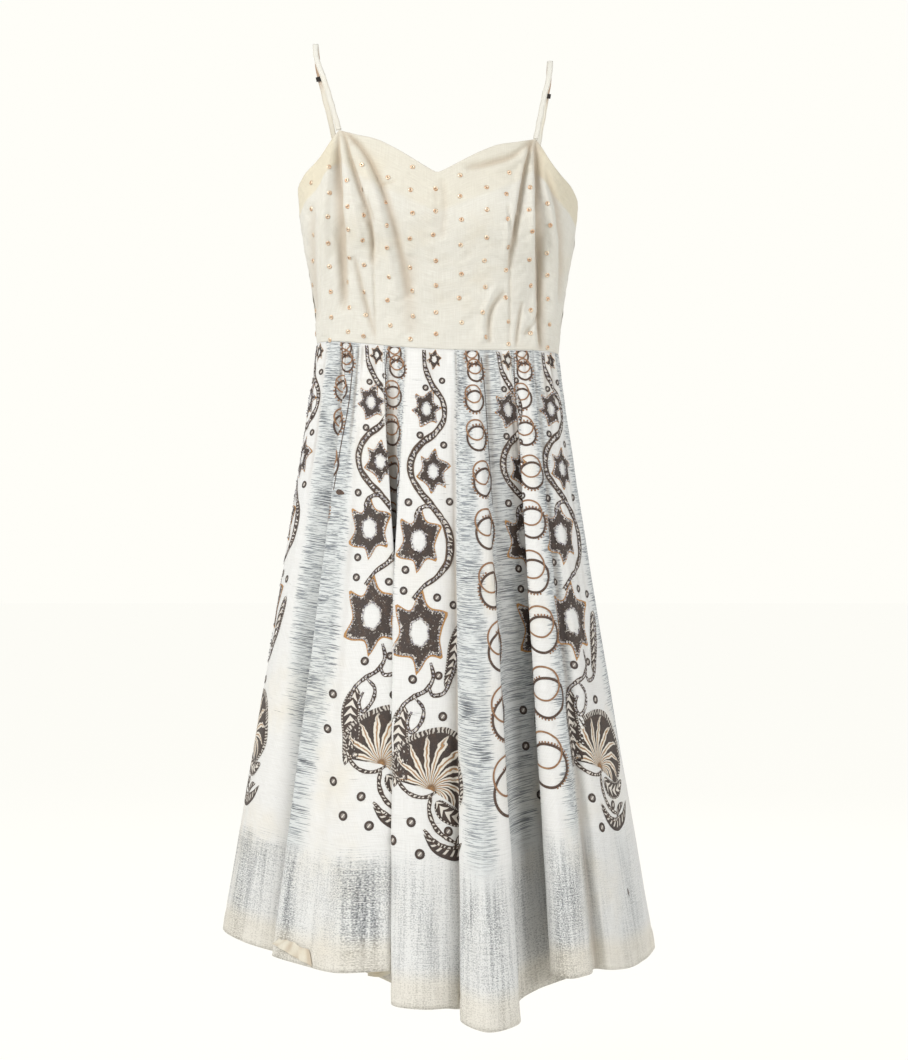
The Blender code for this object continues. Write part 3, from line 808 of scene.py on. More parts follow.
# name, depth (mm, a minus is a ridge), width (mm), then x and z (mm) along it
FRONT_CREASES = (
    ("left trough",        3.0, 5.0, (-109, -104), (-107, -187), (-104, -240), (-102, -310)),
    ("left trough line",   1.6, 1.8, (-108, -104), (-107, -160), (-105, -222)),
    ("left strap crease",  2.2, 3.2, (-105, -104), (-92, -147), (-79, -187), (-70, -219), (-68, -262)),
    ("left strap line",    1.6, 1.7, (-104, -104), (-91, -147), (-79, -187), (-70, -219), (-67, -248)),
    ("left strap ridge",  -1.8, 4.5, (-107, -106), (-99, -150), (-89, -195), (-80, -240)),
    ("left dart",          1.0, 1.7, (-68, -236), (-67, -290), (-66, -349)),
    ("left drape",         2.6, 5.0, (-102, -105), (-79, -132), (-61, -166), (-45, -215), (-33, -264),
                                     (-26, -300)),
    ("left drape line",    1.4, 1.8, (-102, -105), (-79, -131), (-62, -164), (-51, -194)),
    ("left drape ridge",  -2.3, 6.0, (-92, -124), (-73, -160), (-57, -210), (-47, -260), (-40, -300)),
    ("left pinch",         1.6, 1.8, (-74, -184), (-70, -200), (-64, -217)),
    ("left side pinch",    1.2, 1.8, (-81, -194), (-76, -212), (-70, -224)),
    ("left tick",          1.1, 2.0, (-59, -172), (-41, -169)),
    ("left low crease",    1.9, 3.2, (-90, -250), (-79, -296), (-67, -340)),
    ("left low ridge",    -1.2, 4.0, (-96, -270), (-85, -314), (-76, -346)),
    ("left side ridge",   -2.4, 5.0, (-112, -108), (-121, -170), (-124, -250), (-126, -338)),
    ("left side line",     1.1, 1.8, (-126, -176), (-129, -250), (-130, -336)),
    ("left side crease",   1.4, 5.0, (-138, -186), (-140, -250), (-136, -320)),
    ("left rib dent",      1.2, 9.0, (-24, -250), (-27, -300), (-24, -340)),
    ("centre dent",        1.0, 4.0, (12, -166), (14, -200), (11, -236)),
    ("centre crease",      0.9, 1.8, (4, -178), (6, -204), (5, -224)),
    ("right neck fold",    2.2, 4.0, (116, -114), (95, -136), (66, -147), (38, -154)),
    ("right neck ridge",  -1.4, 4.5, (110, -124), (90, -148), (62, -160)),
    ("right trough",       3.2, 5.5, (120, -114), (122, -183), (124, -290), (127, -357)),
    ("right trough line",  2.4, 1.8, (120, -114), (122, -183), (123, -294), (126, -357)),
    ("right trough ridge", -1.7, 4.5, (115, -130), (115, -190), (116, -290), (119, -352)),
    ("right strap crease", 2.4, 3.4, (115, -116), (107, -150), (98, -205), (90, -250), (89, -268)),
    ("right strap line",   1.8, 1.7, (116, -115), (107, -150), (98, -205), (90, -250)),
    ("right strap ridge", -1.8, 5.0, (108, -128), (99, -168), (90, -214), (83, -256)),
    ("right dart",         1.0, 1.7, (88, -206), (89, -280), (89, -352)),
    ("right pinch",        1.5, 1.8, (86, -196), (88, -212), (90, -230)),
    ("right side pinch",   1.2, 1.8, (94, -200), (96, -222), (95, -244)),
    ("right low crease",   2.0, 3.2, (84, -290), (69, -308), (65, -350)),
    ("right low ridge",   -1.2, 4.0, (76, -280), (60, -312), (56, -350)),
    ("right wrinkle",      1.8, 2.2, (104, -300), (99, -330), (97, -354)),
    ("right cross fold",   1.6, 2.4, (106, -338), (115, -327), (124, -313)),
    ("right side crease",  2.0, 4.0, (130, -150), (142, -185), (150, -244), (148, -300)),
    ("right side ridge",  -1.8, 4.5, (124, -160), (135, -200), (140, -250), (141, -320)),
)
BACK_CREASES = (
    ("left back dart",     1.0, 2.0, (-66, -230), (-66, -350)),
    ("right back dart",    1.0, 2.0, (78, -236), (78, -356)),
    ("left back sag",      1.6, 9.0, (-92, -190), (-70, -240), (-40, -300)),
    ("right back sag",     1.9, 8.0, (104, -196), (88, -250), (52, -310)),
    ("left back pull",     1.2, 4.0, (-118, -200), (-112, -262), (-104, -330)),
    ("right back pull",    1.3, 4.5, (126, -210), (122, -270), (112, -340)),
    ("left zip pull",      0.9, 4.0, (-10, -250), (-26, -276), (-48, -286)),
    ("right zip pull",     0.9, 4.0, (22, -290), (40, -312), (62, -318)),
)


def crease_depth(points, creases):
    """How far each point moves inwards for the creases that pass it, in the front view."""
    x, z = points[..., 0] / MM, points[..., 2] / MM
    total = np.zeros_like(x)
    for _, depth, width, *line in creases:
        line = np.array(line, float)
        places = walked(line)
        fine = smooth(np.linspace(0, places[-1], CREASE_STEPS + 1), places, line)
        far = np.full(x.shape, 1e9)
        along = np.zeros_like(x)
        for step, (start, end) in enumerate(zip(fine, fine[1:])):
            run_x, run_z = end - start
            part = ((x - start[0]) * run_x + (z - start[1]) * run_z) / (run_x ** 2 + run_z ** 2)
            part = np.clip(part, 0, 1)
            away = np.hypot(x - start[0] - part * run_x, z - start[1] - part * run_z)
            nearer = away < far
            far = np.where(nearer, away, far)
            along = np.where(nearer, (step + part) / CREASE_STEPS, along)
        taper = np.sqrt(np.clip(1 - np.abs(2 * along - 1) ** 3, 0, 1))
        total += CREASE_DEPTH * depth * taper * bell(far / width)
    return -total * MM


# %% Nets of the bodice
FRONT_COLUMNS = 280
BODICE_ROWS = 140
BACK_COLUMNS = 80
CREASE_SHADE_DEPTH = 4.5 * MM      # a crease this deep gets the darkest painted shade
FINE_RIPPLES = ((0.45 * MM, 26, 60), (0.22 * MM, 8, 22))   # height, degrees and mm of a wave


def bodice_net(first, last, columns, creases, seed):
    """A net from the top edge down to the waist seam."""
    turn, down = np.meshgrid(np.linspace(first, last, columns), np.linspace(0, 1, BODICE_ROWS))
    top = top_edge(turn)[0]
    height = top + (waist_height(turn) - top) * down
    net = Net(bodice(turn, height))
    out = crease_depth(net.points, creases)
    # painted shade along the creases, darkest in the deepest ones
    painted_shading = np.clip(-out / CREASE_SHADE_DEPTH, 0, 1)
    for more, (high, wave_x, wave_y) in enumerate(FINE_RIPPLES):
        out += high * ripples(turn, height / MM, wave_x, wave_y, seed + more)
    # the top and bottom edges keep their line, because they are sewn
    net.push(out * np.clip(down / 0.03, 0.35, 1) * np.clip((1 - down) / 0.04, 0.15, 1))
    return net, turn, painted_shading


def facing_share(turn, points):
    """How far below the top edge a point lies, in widths of the facing behind it."""
    top, width = top_edge(turn)
    x = points[..., 0] - CENTRE_X
    return (top - (points[..., 2] + LEAN * x)) / width


BACK_CUTS = ((0.19, 0.20, 0.032), (0.19, 0.035, 0.0056))
# angles where a panel starts and ends (degrees), columns, creases, seed, and the cuts of the
# panel and of its facing: width and length (m) and area (m2)
BODICE_PANELS = {
    "front": (-90, 90, FRONT_COLUMNS, FRONT_CREASES, 11, (0.42, 0.255, 0.088), (0.40, 0.10, 0.0178)),
    "back_right": (90, 180, BACK_COLUMNS, BACK_CREASES, 12, *BACK_CUTS),
    "back_left": (180, 270, BACK_COLUMNS, BACK_CREASES, 13, *BACK_CUTS),
}
bodice_nets = {}
for name, (first, last, columns, creases, seed, cut, _) in BODICE_PANELS.items():
    net, turn, painted_shading = bodice_net(first, last, columns, creases, seed)
    bodice_nets[name] = (net, turn)
    pattern = paired(turn / 90, facing_share(turn, net.points))
    sewn("bodice_" + name, net, pattern, cream, painted_shading)
    print(name, "across", np.round(net.arcs[-1, -1], 3), "m at the waist,",
          np.round(net.arcs[:, -1].max(), 3), "m at most")

# %% [markdown]
# ## Facings
# A facing is a strip of the same cotton, turned to the inside along the neck and armholes.
# It shows where the top edge falls open at the sides.  It is read from the panel's own net,
# a cloth's thickness further in, so it follows every crease of its panel.

# %% Facings
FACING_INSET = COTTON + 0.15 * MM
FACING_ROWS = 30
for name, (net, turn) in bodice_nets.items():
    inner = net.points - net.normals * FACING_INSET
    top, width = top_edge(turn)
    share = np.linspace(0, 1, FACING_ROWS)[:, None]
    rows = share * (width / (top - waist_height(turn)))[:1] * (BODICE_ROWS - 1)
    low = np.floor(rows).astype(int)
    part = (rows - low)[..., None]
    column = np.arange(inner.shape[1])[None, :]
    facing = Net(inner[low, column] * (1 - part) + inner[low + 1, column] * part)
    sewn("facing_" + name, facing, paired(share, rows * 0), inside)
print("three facings, up to", max(row[3] for row in NECKLINE), "mm wide")

# %% [markdown]
# ## The skirt
# The skirt hangs in deep organ-pipe folds.  Its net runs round the whole ring.  Gathers at
# the waist fade out below it, a few long soft creases run down the panels, and the stitching
# of the hem pulls small puckers into the lowest rows.

# %% The skirt's net
SKIRT_DOWN = 116            # rows of the net, from waist to hem
FRONT_DENSE = 420           # columns of the front panel
BACK_DENSE = 110            # and of each back panel
HEM_TURN = 27 * MM          # the hem is stitched this far above its edge
STITCH_WIDTH = 3 * MM       # half the width of the groove that the stitching pulls in
STITCH_DEPTH = 0.5 * MM

# name, place in the pattern (repeats), start and end (share of the skirt), depth, width (mm)
SKIRT_CREASES = (
    ("panel 1 gather",   -1.86, 0.00, 0.42,  2.6,  8),
    ("panel 1 low",      -1.80, 0.35, 0.95, -3.0, 16),
    ("panel 2 gather",   -1.22, 0.00, 0.30,  1.8,  6),
    ("panel 2 long",     -1.14, 0.10, 0.80,  2.2, 11),
    ("panel 2 low",      -1.20, 0.62, 1.00,  3.2, 15),
    ("panel 2 hem",      -1.03, 0.70, 1.00, -2.6, 12),
    ("panel 3 gather",   -0.20, 0.00, 0.36,  1.3,  4),
    ("panel 3 press",    -0.13, 0.06, 0.50,  0.8,  2),
    ("panel 3 low",       0.02, 0.55, 1.00,  2.4, 10),
    ("tube gather",       0.28, 0.00, 0.22,  1.6,  6),
    ("tube side",         0.27, 0.25, 0.75, -1.8,  9),
    ("tube long",         0.38, 0.45, 1.00,  1.9, 12),
    ("recess gather",     0.66, 0.00, 0.35,  2.2,  7),
    ("recess low",        0.70, 0.40, 1.00,  2.0,  9),
    ("panel 5 gather",    1.47, 0.00, 0.40,  1.5,  5),
    ("panel 5 long",      1.56, 0.20, 0.90,  1.6,  8),
    ("panel 6 gather",    1.90, 0.00, 0.30,  1.8,  5),
    ("panel 6 long",      2.06, 0.25, 0.85,  2.0, 12),
    ("panel 6 low",       2.00, 0.60, 1.00, -2.0, 16),
    ("side fold",         2.16, 0.05, 0.55,  1.9,  7),
    ("back right",        3.10, 0.05, 0.80,  2.4, 12),
    ("back middle",       4.02, 0.00, 0.70,  2.0, 10),
    ("back left",         5.10, 0.10, 0.95,  2.5, 13),
)


def skirt_rows():
    """The ring's rows that the net's columns stand on, dense where the folds are tight."""
    stations = ring_stations()
    at = [stations[:1]]
    for first, last, count in ((0, FRONT_LAST, FRONT_DENSE), (FRONT_LAST, BACK_MIDDLE, BACK_DENSE),
                               (BACK_MIDDLE, RING_LAST, BACK_DENSE)):
        at.append(np.linspace(stations[first], stations[last], count)[1:])
    return np.interp(np.concatenate(at), stations, np.arange(len(stations)))


ring_rows = skirt_rows()
row_grid, down_grid = np.meshgrid(ring_rows, np.linspace(0, 1, SKIRT_DOWN))
places = columns_of(SKIRT_RING, 5)[0]
skirt_place = np.interp(ring_rows, np.arange(len(SKIRT_RING)), places)
skirt_net = Net(skirt(row_grid, down_grid), closed=True)
centre_front = int(np.argmin(np.abs(skirt_place)))
SKIRT_LENGTH = float(np.linalg.norm(np.subtract(*skirt_net.points[[0, -1], centre_front])))


def skirt_creases(net):
    """The long soft creases of the table, each inside its own stretch of the way down."""
    down = down_grid
    out = np.zeros_like(down)
    for _, place, start, end, depth, width in SKIRT_CREASES:
        along = np.clip((down - start) / (end - start), 0, 1)
        # a crease that starts in the waist seam or ends in the hem doesn't fade there
        fade_in = 1.0 if start == 0 else np.clip(along / 0.25, 0, 1)
        fade_out = 1.0 if end == 1 else np.clip((1 - along) / 0.6, 0, 1)
        middle = np.array([np.interp(place, skirt_place, arcs) for arcs in net.arcs])[:, None]
        reach = width * MM * (0.7 + 0.6 * down)
        within = (down >= start) & (down <= end)
        out -= depth * MM * fade_in * fade_out * within * bell((net.arcs - middle) / reach)
    return out


def skirt_surface(net):
    """All the small relief of the skirt's cloth."""
    down = down_grid
    # the place closes on itself after all the repeats, so the waves do too
    turn = 2 * math.pi * skirt_place[None, :] / REPEATS
    round_x, round_y = REPEATS * np.cos(turn), REPEATS * np.sin(turn)
    above_hem = (1 - down) * SKIRT_LENGTH
    near_hem = np.sin(math.pi * np.clip(1 - above_hem / HEM_TURN, 0, 1))
    out = skirt_creases(net)
    # name, height (mm), how far it shears on the way down, its waves, seed and where it shows
    kinds = (
        ("gathers", 1.10, 0.0,  0.0, 0.90, 0.90, 31, np.exp(-down / 0.07)),
        ("swells",  0.80, 0.3,  0.0, 1.60, 1.60, 32, 1 - np.exp(-down / 0.2)),
        ("dents",   0.35, 2.0, -3.0, 0.70, 1.10, 33, 1.0),
        ("puckers", 0.60, 0.2,  0.0, 0.28, 0.28, 34, near_hem),
    )
    for _, high, shear_x, shear_y, wave_x, wave_y, seed, shows in kinds:
        wave = ripples(round_x + shear_x * down, round_y + shear_y * down, wave_x, wave_y, seed, 24)
        out += high * MM * wave * shows
    out -= STITCH_DEPTH * bell((above_hem - HEM_TURN) / STITCH_WIDTH)
    return out * np.clip(down / 0.012, 0, 1)


skirt_net.push(skirt_surface(skirt_net))
# the ring closes, so its last column lies on its first
skirt_net.points[:, -1] = skirt_net.points[:, 0]
skirt_net.measure()
skirt_hollows = hollows(skirt_net)
print("skirt", round(SKIRT_LENGTH, 3), "m long,", round(float(skirt_net.arcs[-1, -1]), 2), "m round the hem")

# %% [markdown]
# ## The painted cloth
# The skirt's ground is off-white.  Between the garlands and the loops the painter dragged a
# nearly dry brush, first across and, near the hem, downwards, so the thin blue grey paint
# caught only on the threads that stand up.  The pattern map gives the place round the skirt
# in repeats and the way down in metres, and the masks for ground and bands are read from it.

# %% Ground and dry-brush bands
GROUND_HALF = 0.19          # half of a garland's ground near the waist, in repeats
GROUND_MORE = 0.085         # and how much more it is near the hem
LOOPS_HALF = 0.08           # half of the ground behind a chain of loops
ACROSS_END = 0.565          # metres down where strokes across give way to strokes down
STROKE = 0.21               # metres of cloth that one repeat stands for in the strokes
DOWN_START = (0.555, 0.625) # metres down over which the strokes down gain their strength
FAINT = ((1.62, 1.92), (2.60, 2.35))    # where round the skirt they turn faint and end (repeats)
HEM_TINT = (0.695, 0.72)    # metres down over which the cloth turns warm at the hem
SKIRT_WHITE = rgb(235, 235, 233)
BAND_TINT = rgb(212, 218, 219)
BRUSH_GREY = rgb(88, 99, 112)
BRUSH_DARK = rgb(50, 55, 66)
DRY_GREY = rgb(92, 98, 108)

# waves in a metre across and down the cloth, shift, detail and roughness of each noise
BRUSH_NOISES = {
    "dashes": (38.0, 820.0, 0.0, 2.0, 0.5),     # long thin dashes on single weft threads
    "fine": (120.0, 1400.0, 3.0, 2.0, 0.6),
    "load": (22.0, 34.0, 7.0, 3.0, 0.6),        # loads of paint that come and go
    "drag": (330.0, 11.0, 11.0, 3.0, 0.6),      # columns of strokes down
    "speck": (820.0, 640.0, 13.0, 1.0, 0.6),
    "column": (26.0, 3.0, 17.0, 2.0, 0.5),
    "weft": (60.0, 900.0, 19.0, 1.0, 0.5),      # threads that break the strokes down
}


def band_mask(place, down):
    """Up to 1 in the middle of the bands between a garland and a chain of loops."""
    from_garland = abs((place + 0.5).math("FRACT") - 0.5)
    from_loops = 0.5 - from_garland
    spread = down.step(0.36, 0.56) * GROUND_MORE
    ground = (from_garland - spread).step(GROUND_HALF - 0.05, GROUND_HALF + 0.05)
    return ground * from_loops.step(LOOPS_HALF - 0.04, LOOPS_HALF + 0.03)


def painted_cloth():
    """The skirt's cotton: its ground and its bands of dry brushwork."""
    graph = Graph("painted_cotton", SKIRT_WHITE, Roughness=0.84, Sheen_Weight=0.1, Sheen_Roughness=0.5,
                  Specular_IOR_Level=0.25)
    threads, slubs = weave(graph)
    place, down = graph.uv("pattern")
    across = place * STROKE
    age(graph, rgb(234, 227, 211), rgb(227, 230, 232))
    dashes, fine, load, drag, speck, column, weft = (
        graph.noise(graph.vector(across * waves_x, down * waves_y, shift), 1.0, detail, roughness)
        for waves_x, waves_y, shift, detail, roughness in BRUSH_NOISES.values())

    # strokes across
    heavy = load.step(0.42, 0.72)
    band = band_mask(place, down)
    left = place.step(-0.4, -1.0)
    lower = (down + (dashes - 0.5) * 0.08 - left * 0.035).step(ACROSS_END, ACROSS_END + 0.03)
    upper = 1.0 - lower
    brush = dashes * 0.74 + fine * 0.26 + (band - 1.0) * 0.10
    wet = (brush + heavy * 0.05).step(0.51, 0.545) * band.step(0.0, 0.3)
    black = (brush + heavy * 0.08).step(0.585, 0.64) * heavy

    # strokes down: speckled columns, broken by the weft
    wide = column.step(0.40, 0.66)
    grain = speck * 0.50 + weft * 0.20 + drag * 0.34
    dry = (grain + wide * 0.06).step(0.515, 0.56)
    soot = (grain + wide * 0.06).step(0.60, 0.65)
    # the strokes down are faint where they start, and on the folds at the wearer's left
    faint = place.step(*FAINT[0]) * place.step(*FAINT[1])
    started = (down - (column - 0.5) * 0.22 + (drag - 0.5) * 0.06).step(*DOWN_START)
    strength = (1.0 - faint * 0.55) * (started * 0.85 + 0.15)

    graph.coat(band * upper * 0.66, BAND_TINT)
    graph.coat(upper * wet * 0.68, BRUSH_GREY)
    graph.coat(upper * black * 0.85, BRUSH_DARK)
    graph.coat(lower * (wide * 0.22 + 0.12), BAND_TINT)
    graph.coat(lower * strength * dry * (wide * 0.30 + 0.26), DRY_GREY)
    graph.coat(lower * strength * soot * (wide * 0.5 + 0.25), BRUSH_DARK)

    graph.coat(down.step(*HEM_TINT) * 0.35, rgb(236, 224, 198))
    # a warm brown painted shade deep in the folds
    return finish_cloth(graph, threads, slubs, painted_shading=(0.60, rgb(128, 110, 91)),
                        thin=(0.60, 0.40, 0.14, rgb(160, 154, 142)), relief=(1.0, 2.6))


painted = painted_cloth()
wrong_side = cotton("wrong_side_cotton", rgb(228, 222, 206), rgb(226, 210, 176), rgb(206, 204, 196))
print("ground", GROUND_HALF * 2, "of a repeat, loops", LOOPS_HALF * 2)


# %% Skirt panels and the hem's turn-up
FRONT_END = FRONT_DENSE - 1
BACK_JOIN = FRONT_END + BACK_DENSE - 1
RING_END = BACK_JOIN + BACK_DENSE - 1
HALF_CUTS = ((0.56, 0.82, 0.225), (0.56, 0.036, 0.0165))
# first and last column, and the cuts of the panel and of its turn-up, as for the bodice
SKIRT_PANELS = {
    "front": (0, FRONT_END, (1.70, 0.80, 0.70), (1.70, 0.036, 0.056)),
    "back_right": (FRONT_END, BACK_JOIN, *HALF_CUTS),
    "back_left": (BACK_JOIN, RING_END, *HALF_CUTS),
}
HEM_ROWS = 7                # rows of the net that the turn-up covers
HEM_INSET = COTTON + 0.2 * MM
for name, (first, last, cut, hem_cut) in SKIRT_PANELS.items():
    columns = slice(first, last + 1)
    rows = slice(SKIRT_DOWN - HEM_ROWS, None)
    panel = skirt_net.part(columns)
    pattern = paired(skirt_place[columns], down_grid[:, columns] * SKIRT_LENGTH)
    sewn("skirt_" + name, panel, pattern, painted, skirt_hollows[:, columns])
    sewn("hem_" + name, skirt_net.part(columns, rows, HEM_INSET), pattern[rows], wrong_side)
    print(name, "is", round(float(panel.arcs[-1, -1]), 2), "m along the hem")

# %% [markdown]
# ## From the pattern to the folds
# Paint and sequins are drawn flat, in millimetres to the right of a garland's middle and
# below the waist.  To lay a point on the cloth, the net is read at that height: the middle
# of the garland is found along the row, the distance is walked along the cloth's own length,
# and the point is lifted off by a hair along the normal.

# %% Laying points on the skirt
PAINT = 0.30 * MM
DROP = 1.04                 # the drawn heights are stretched by this on the cloth
# place in the pattern and how far its foot hangs to the right of its head (mm)
LEANS = {-2: -26, 0.5: 9, 1: 10}
LEAN_START = 0.15           # the lean starts this share of the way down
LEAN_END = 0.65             # and is whole here
ring_columns = skirt_net.arcs.shape[1] - 1
once, whole = skirt_net.arcs[:, :-1], skirt_net.arcs[:, -1:]
arcs_round = np.concatenate([once - whole, once, once + whole], axis=1)
columns_round = np.arange(-ring_columns, 2 * ring_columns)


def on_skirt(place, x, y, lift=PAINT):
    """Points on the skirt at x and y (mm) from the middle of one place in the pattern."""
    x, y = np.broadcast_arrays(np.asarray(x, float) * MM, np.asarray(y, float) * DROP * MM)
    down = y / SKIRT_LENGTH
    x = x + LEANS.get(place, 0) * MM * np.clip((down - LEAN_START) / (LEAN_END - LEAN_START), 0, 1)
    row = np.clip(down, 0.001, 0.999) * (SKIRT_DOWN - 1)
    low = row.astype(int)
    middle = np.interp(place, skirt_place, np.arange(len(skirt_place)))
    column = np.zeros(x.shape)
    for share, level in ((1 - (row - low), low), (row - low, low + 1)):
        for one in np.unique(level):
            here = level == one
            start = np.interp(middle, columns_round, arcs_round[one])
            column[here] += share[here] * np.interp(start + x[here], arcs_round[one], columns_round)
    return read_net(skirt_net, row, column, lift)


def read_net(net, row, column, lift):
    """Points between the points of a closed net, lifted along its normals."""
    low = np.clip(np.floor(row).astype(int), 0, len(net.points) - 2)
    left = np.floor(column).astype(int)
    down, right = row - low, column - left
    total = 0.0
    for values, scale in ((net.points, 1.0), (net.normals, lift)):
        for step_down, step_right in ((0, 0), (0, 1), (1, 0), (1, 1)):
            weight = np.abs(1 - step_down - down) * np.abs(1 - step_right - right) * scale
            at = (left + step_right) % (net.points.shape[1] - 1)
            total = total + values[low + step_down, at] * weight[..., None]
    return total


test = on_skirt(0, np.array([0.0, 30.0]), np.array([300.0, 300.0]))
print("30 mm of pattern is", round(float(np.linalg.norm(test[1] - test[0]) / MM), 2), "mm of cloth")


# %% The corner of the hem that is turned up
# the flap's corners: x from the left garland's middle, y below the waist and the height
# over the panel (mm)
CORNER = (
    ("upper left",  -128, 690, 2.2),
    ("upper right",  -86, 694, 2.0),
    ("lower left",  -136, 699, 6.0),
    ("lower right",  -80, 712, 2.4),
)
CORNER_ROWS = 12
CORNER_COLUMNS = 36
CORNER_RIDGE = 0.55         # height of the flap's uneven ridges (mm)

along, down = np.meshgrid(np.linspace(0, 1, CORNER_COLUMNS), np.linspace(0, 1, CORNER_ROWS))
upper_left, upper_right, lower_left, lower_right = np.array(columns_of(CORNER, 1, 2, 3)).T[..., None, None]
x, y, lift = ((upper_left * (1 - along) + upper_right * along) * (1 - down)
              + (lower_left * (1 - along) + lower_right * along) * down)
ridges = np.sin(23 * along + 3 * down) + 0.7 * np.sin(11 * along - 2 * down + 1)
lift = lift + CORNER_RIDGE * ridges * (0.4 + 0.6 * down)
y = y + (1.1 * np.sin(8 * along + 1) + 0.6 * np.sin(19 * along)) * (1 - down)
# painted shade in the valleys between the ridges, and darker towards the flap's right end
painted_shading = np.clip(0.25 - 0.45 * ridges, 0, 1) + np.clip((along - 0.8) / 0.2, 0, 1) * 0.6
cloth = on_skirt(-1, x, y, 0.0)
flap = Net(cloth + (on_skirt(-1, x, y, MM) - cloth) * lift[..., None])
piece = sheet("hem_corner_cloth", flap.points, threads_of(flap), paired(along, down), wrong_side,
              "hem_front", hollow=np.clip(painted_shading, 0, 1))
print("the flap is", np.round(flap.arcs[-1, -1] / MM), "mm long")

# %% [markdown]
# ## Strokes of paint
# Each stroke is a small net of its own: along the brush's way and across its width.  A
# ribbon follows a line and swells and thins; a flower and a fan leaf are nets round a
# centre.  The strokes of one colour are joined into one piece, and their UV map `stroke`
# holds millimetres along and the share across, from which the materials draw fine marks.

# %% Strokes
def mesh_piece(name, points, faces, pairs, look):
    """A piece made of points and four-sided faces, with a stroke map."""
    bpy.ops.mesh.primitive_plane_add(size=1)
    piece = bpy.context.object
    piece.data = bpy.data.meshes.new(name)
    piece.data.from_pydata(points.reshape(-1, 3), [], faces.tolist())
    set_uv(piece.data, "stroke", pairs.reshape(-1, 2))
    return finish_piece(piece, name, look)


class Strokes:
    """Strokes of one kind of paint, collected and then joined into one mesh."""

    def __init__(self):
        self.nets = []
        self.maps = []

    def lay(self, place, x, y, along, across, lift=PAINT):
        """Lay one stroke: x and y (mm) from a place in the pattern, and its stroke map."""
        self.nets.append(on_skirt(place, x, y, lift))
        self.maps.append(paired(along, across))

    def join(self, name, look):
        """Make one piece of all the strokes."""
        faces, start = [], 0
        for high, wide, _ in (net.shape for net in self.nets):
            index = start + np.arange(high * wide).reshape(high, wide)
            quads = np.stack([index[:-1, :-1], index[1:, :-1], index[1:, 1:], index[:-1, 1:]], axis=-1)
            faces.append(quads.reshape(-1, 4))
            start += high * wide
        points = np.concatenate([net.reshape(-1, 3) for net in self.nets])
        pairs = np.concatenate([pair.reshape(-1, 2) for pair in self.maps])
        faces = np.concatenate(faces)
        mesh_piece(name, points, faces, pairs, look)
        print(name, len(self.nets), "strokes,", 2 * len(faces), "triangles")


def curve(line, count):
    """Points along a smooth line, their normals and the millimetres walked so far."""
    line = np.array(line, float)
    knots = walked(line)
    at = np.linspace(0, knots[-1], count)
    points = smooth(at, knots, line)
    heading = unit(np.gradient(points, axis=0))
    return points, paired(-heading[:, 1], heading[:, 0]), at


def ribbon(strokes, place, line, width, lift=PAINT, rows=3):
    """A brush stroke along a line; width is a number or a function of the share along it."""
    points, normals, at = curve(line, max(8, int(len(line) * 7)))
    half = (width(at / at[-1]) if callable(width) else width) / 2
    side = np.linspace(-1, 1, rows)[:, None]
    x, y = (points[:, axis] + normals[:, axis] * half * side for axis in (0, 1))
    strokes.lay(place, x, y, at, side, lift)


def leaf_width(most, tip=0.8, root=0.6):
    """A width that swells from a point and closes to a point."""
    return lambda share: most * np.sin(math.pi * share ** tip) ** root + 0.4


FLOWER_WIDTH = 0.80         # a flower's width as a share of its height


def flower_points(x, y, size, turn, angle, share):
    """Points of a flower of six pointed petals: share is 0 at its open eye and 1 at its rim."""
    sway = 0.10 * np.sin(2 * angle + 9 * turn)
    petal = 1 - np.abs(np.sin(3 * (angle - turn + sway)))
    uneven = 0.04 * np.sin(2 * angle + 5 * turn) + 0.03 * np.sin(5 * angle + 20 * turn)
    outer = size * (0.64 + 0.37 * petal ** 1.2 + uneven)
    inner = size * (0.275 + 0.02 * np.cos(2 * angle) + 0.015 * np.sin(7 * angle))
    reach = inner + (outer - inner) * share
    bearing = angle + 0.17 * (reach / size) ** 2 - 0.08
    return x + reach * np.sin(bearing) * FLOWER_WIDTH, y - reach * np.cos(bearing)


def flower(strokes, place, x, y, size, turn):
    """A flower of paint, open at its eye."""
    angle = np.linspace(0, 2 * math.pi, 73)
    share = np.linspace(1, 0, 7)[:, None]
    strokes.lay(place, *flower_points(x, y, size, turn, angle, share), angle / (2 * math.pi), share)


def fan_leaf(strokes, place, x, y, size, turn):
    """A broad heart-shaped leaf whose rays start at its root."""
    angle = np.linspace(-1, 1, 41)
    share = np.linspace(1, 0, 15)[:, None]
    outer = size * (0.50 + 0.52 * np.cos(angle * 1.05) ** 1.4 + 0.03 * np.cos(angle * 9))
    bearing = turn + angle * 1.75
    reach = outer * share
    strokes.lay(place, x + reach * np.sin(bearing), y - reach * np.cos(bearing), angle, share)


def disc(strokes, place, x, y, size, corners=14):
    """A round dot of paint."""
    angle = np.linspace(0, 2 * math.pi, corners + 1)
    share = np.array([[1.0], [0.6], [0.0]])
    strokes.lay(place, x + size * share * np.sin(angle), y - size * share * np.cos(angle),
                angle / (2 * math.pi), share)


print("strokes: ribbon, flower, fan leaf and disc")

# %% [markdown]
# ## The painted garland
# A garland runs from the waist almost to the hem: small flowers that grow downwards, a vine
# that swings from side to side between them, hooked stems with feathered leaves, one broad
# fan leaf, and crescents and dots round its foot.  Each mark keeps its own listed place.

# %% The garland's marks
# x and y from the garland's middle and the waist, size and turn of the first petal (mm, radians)
FLOWERS = (
    (2, 12, 11.5, 0.2),
    (-7, 69, 23.0, 0.30),
    (1, 139, 26.0, 0.12),
    (-15, 217, 37.0, 0.03),
    (-14, 318, 47.0, 0.02),
)
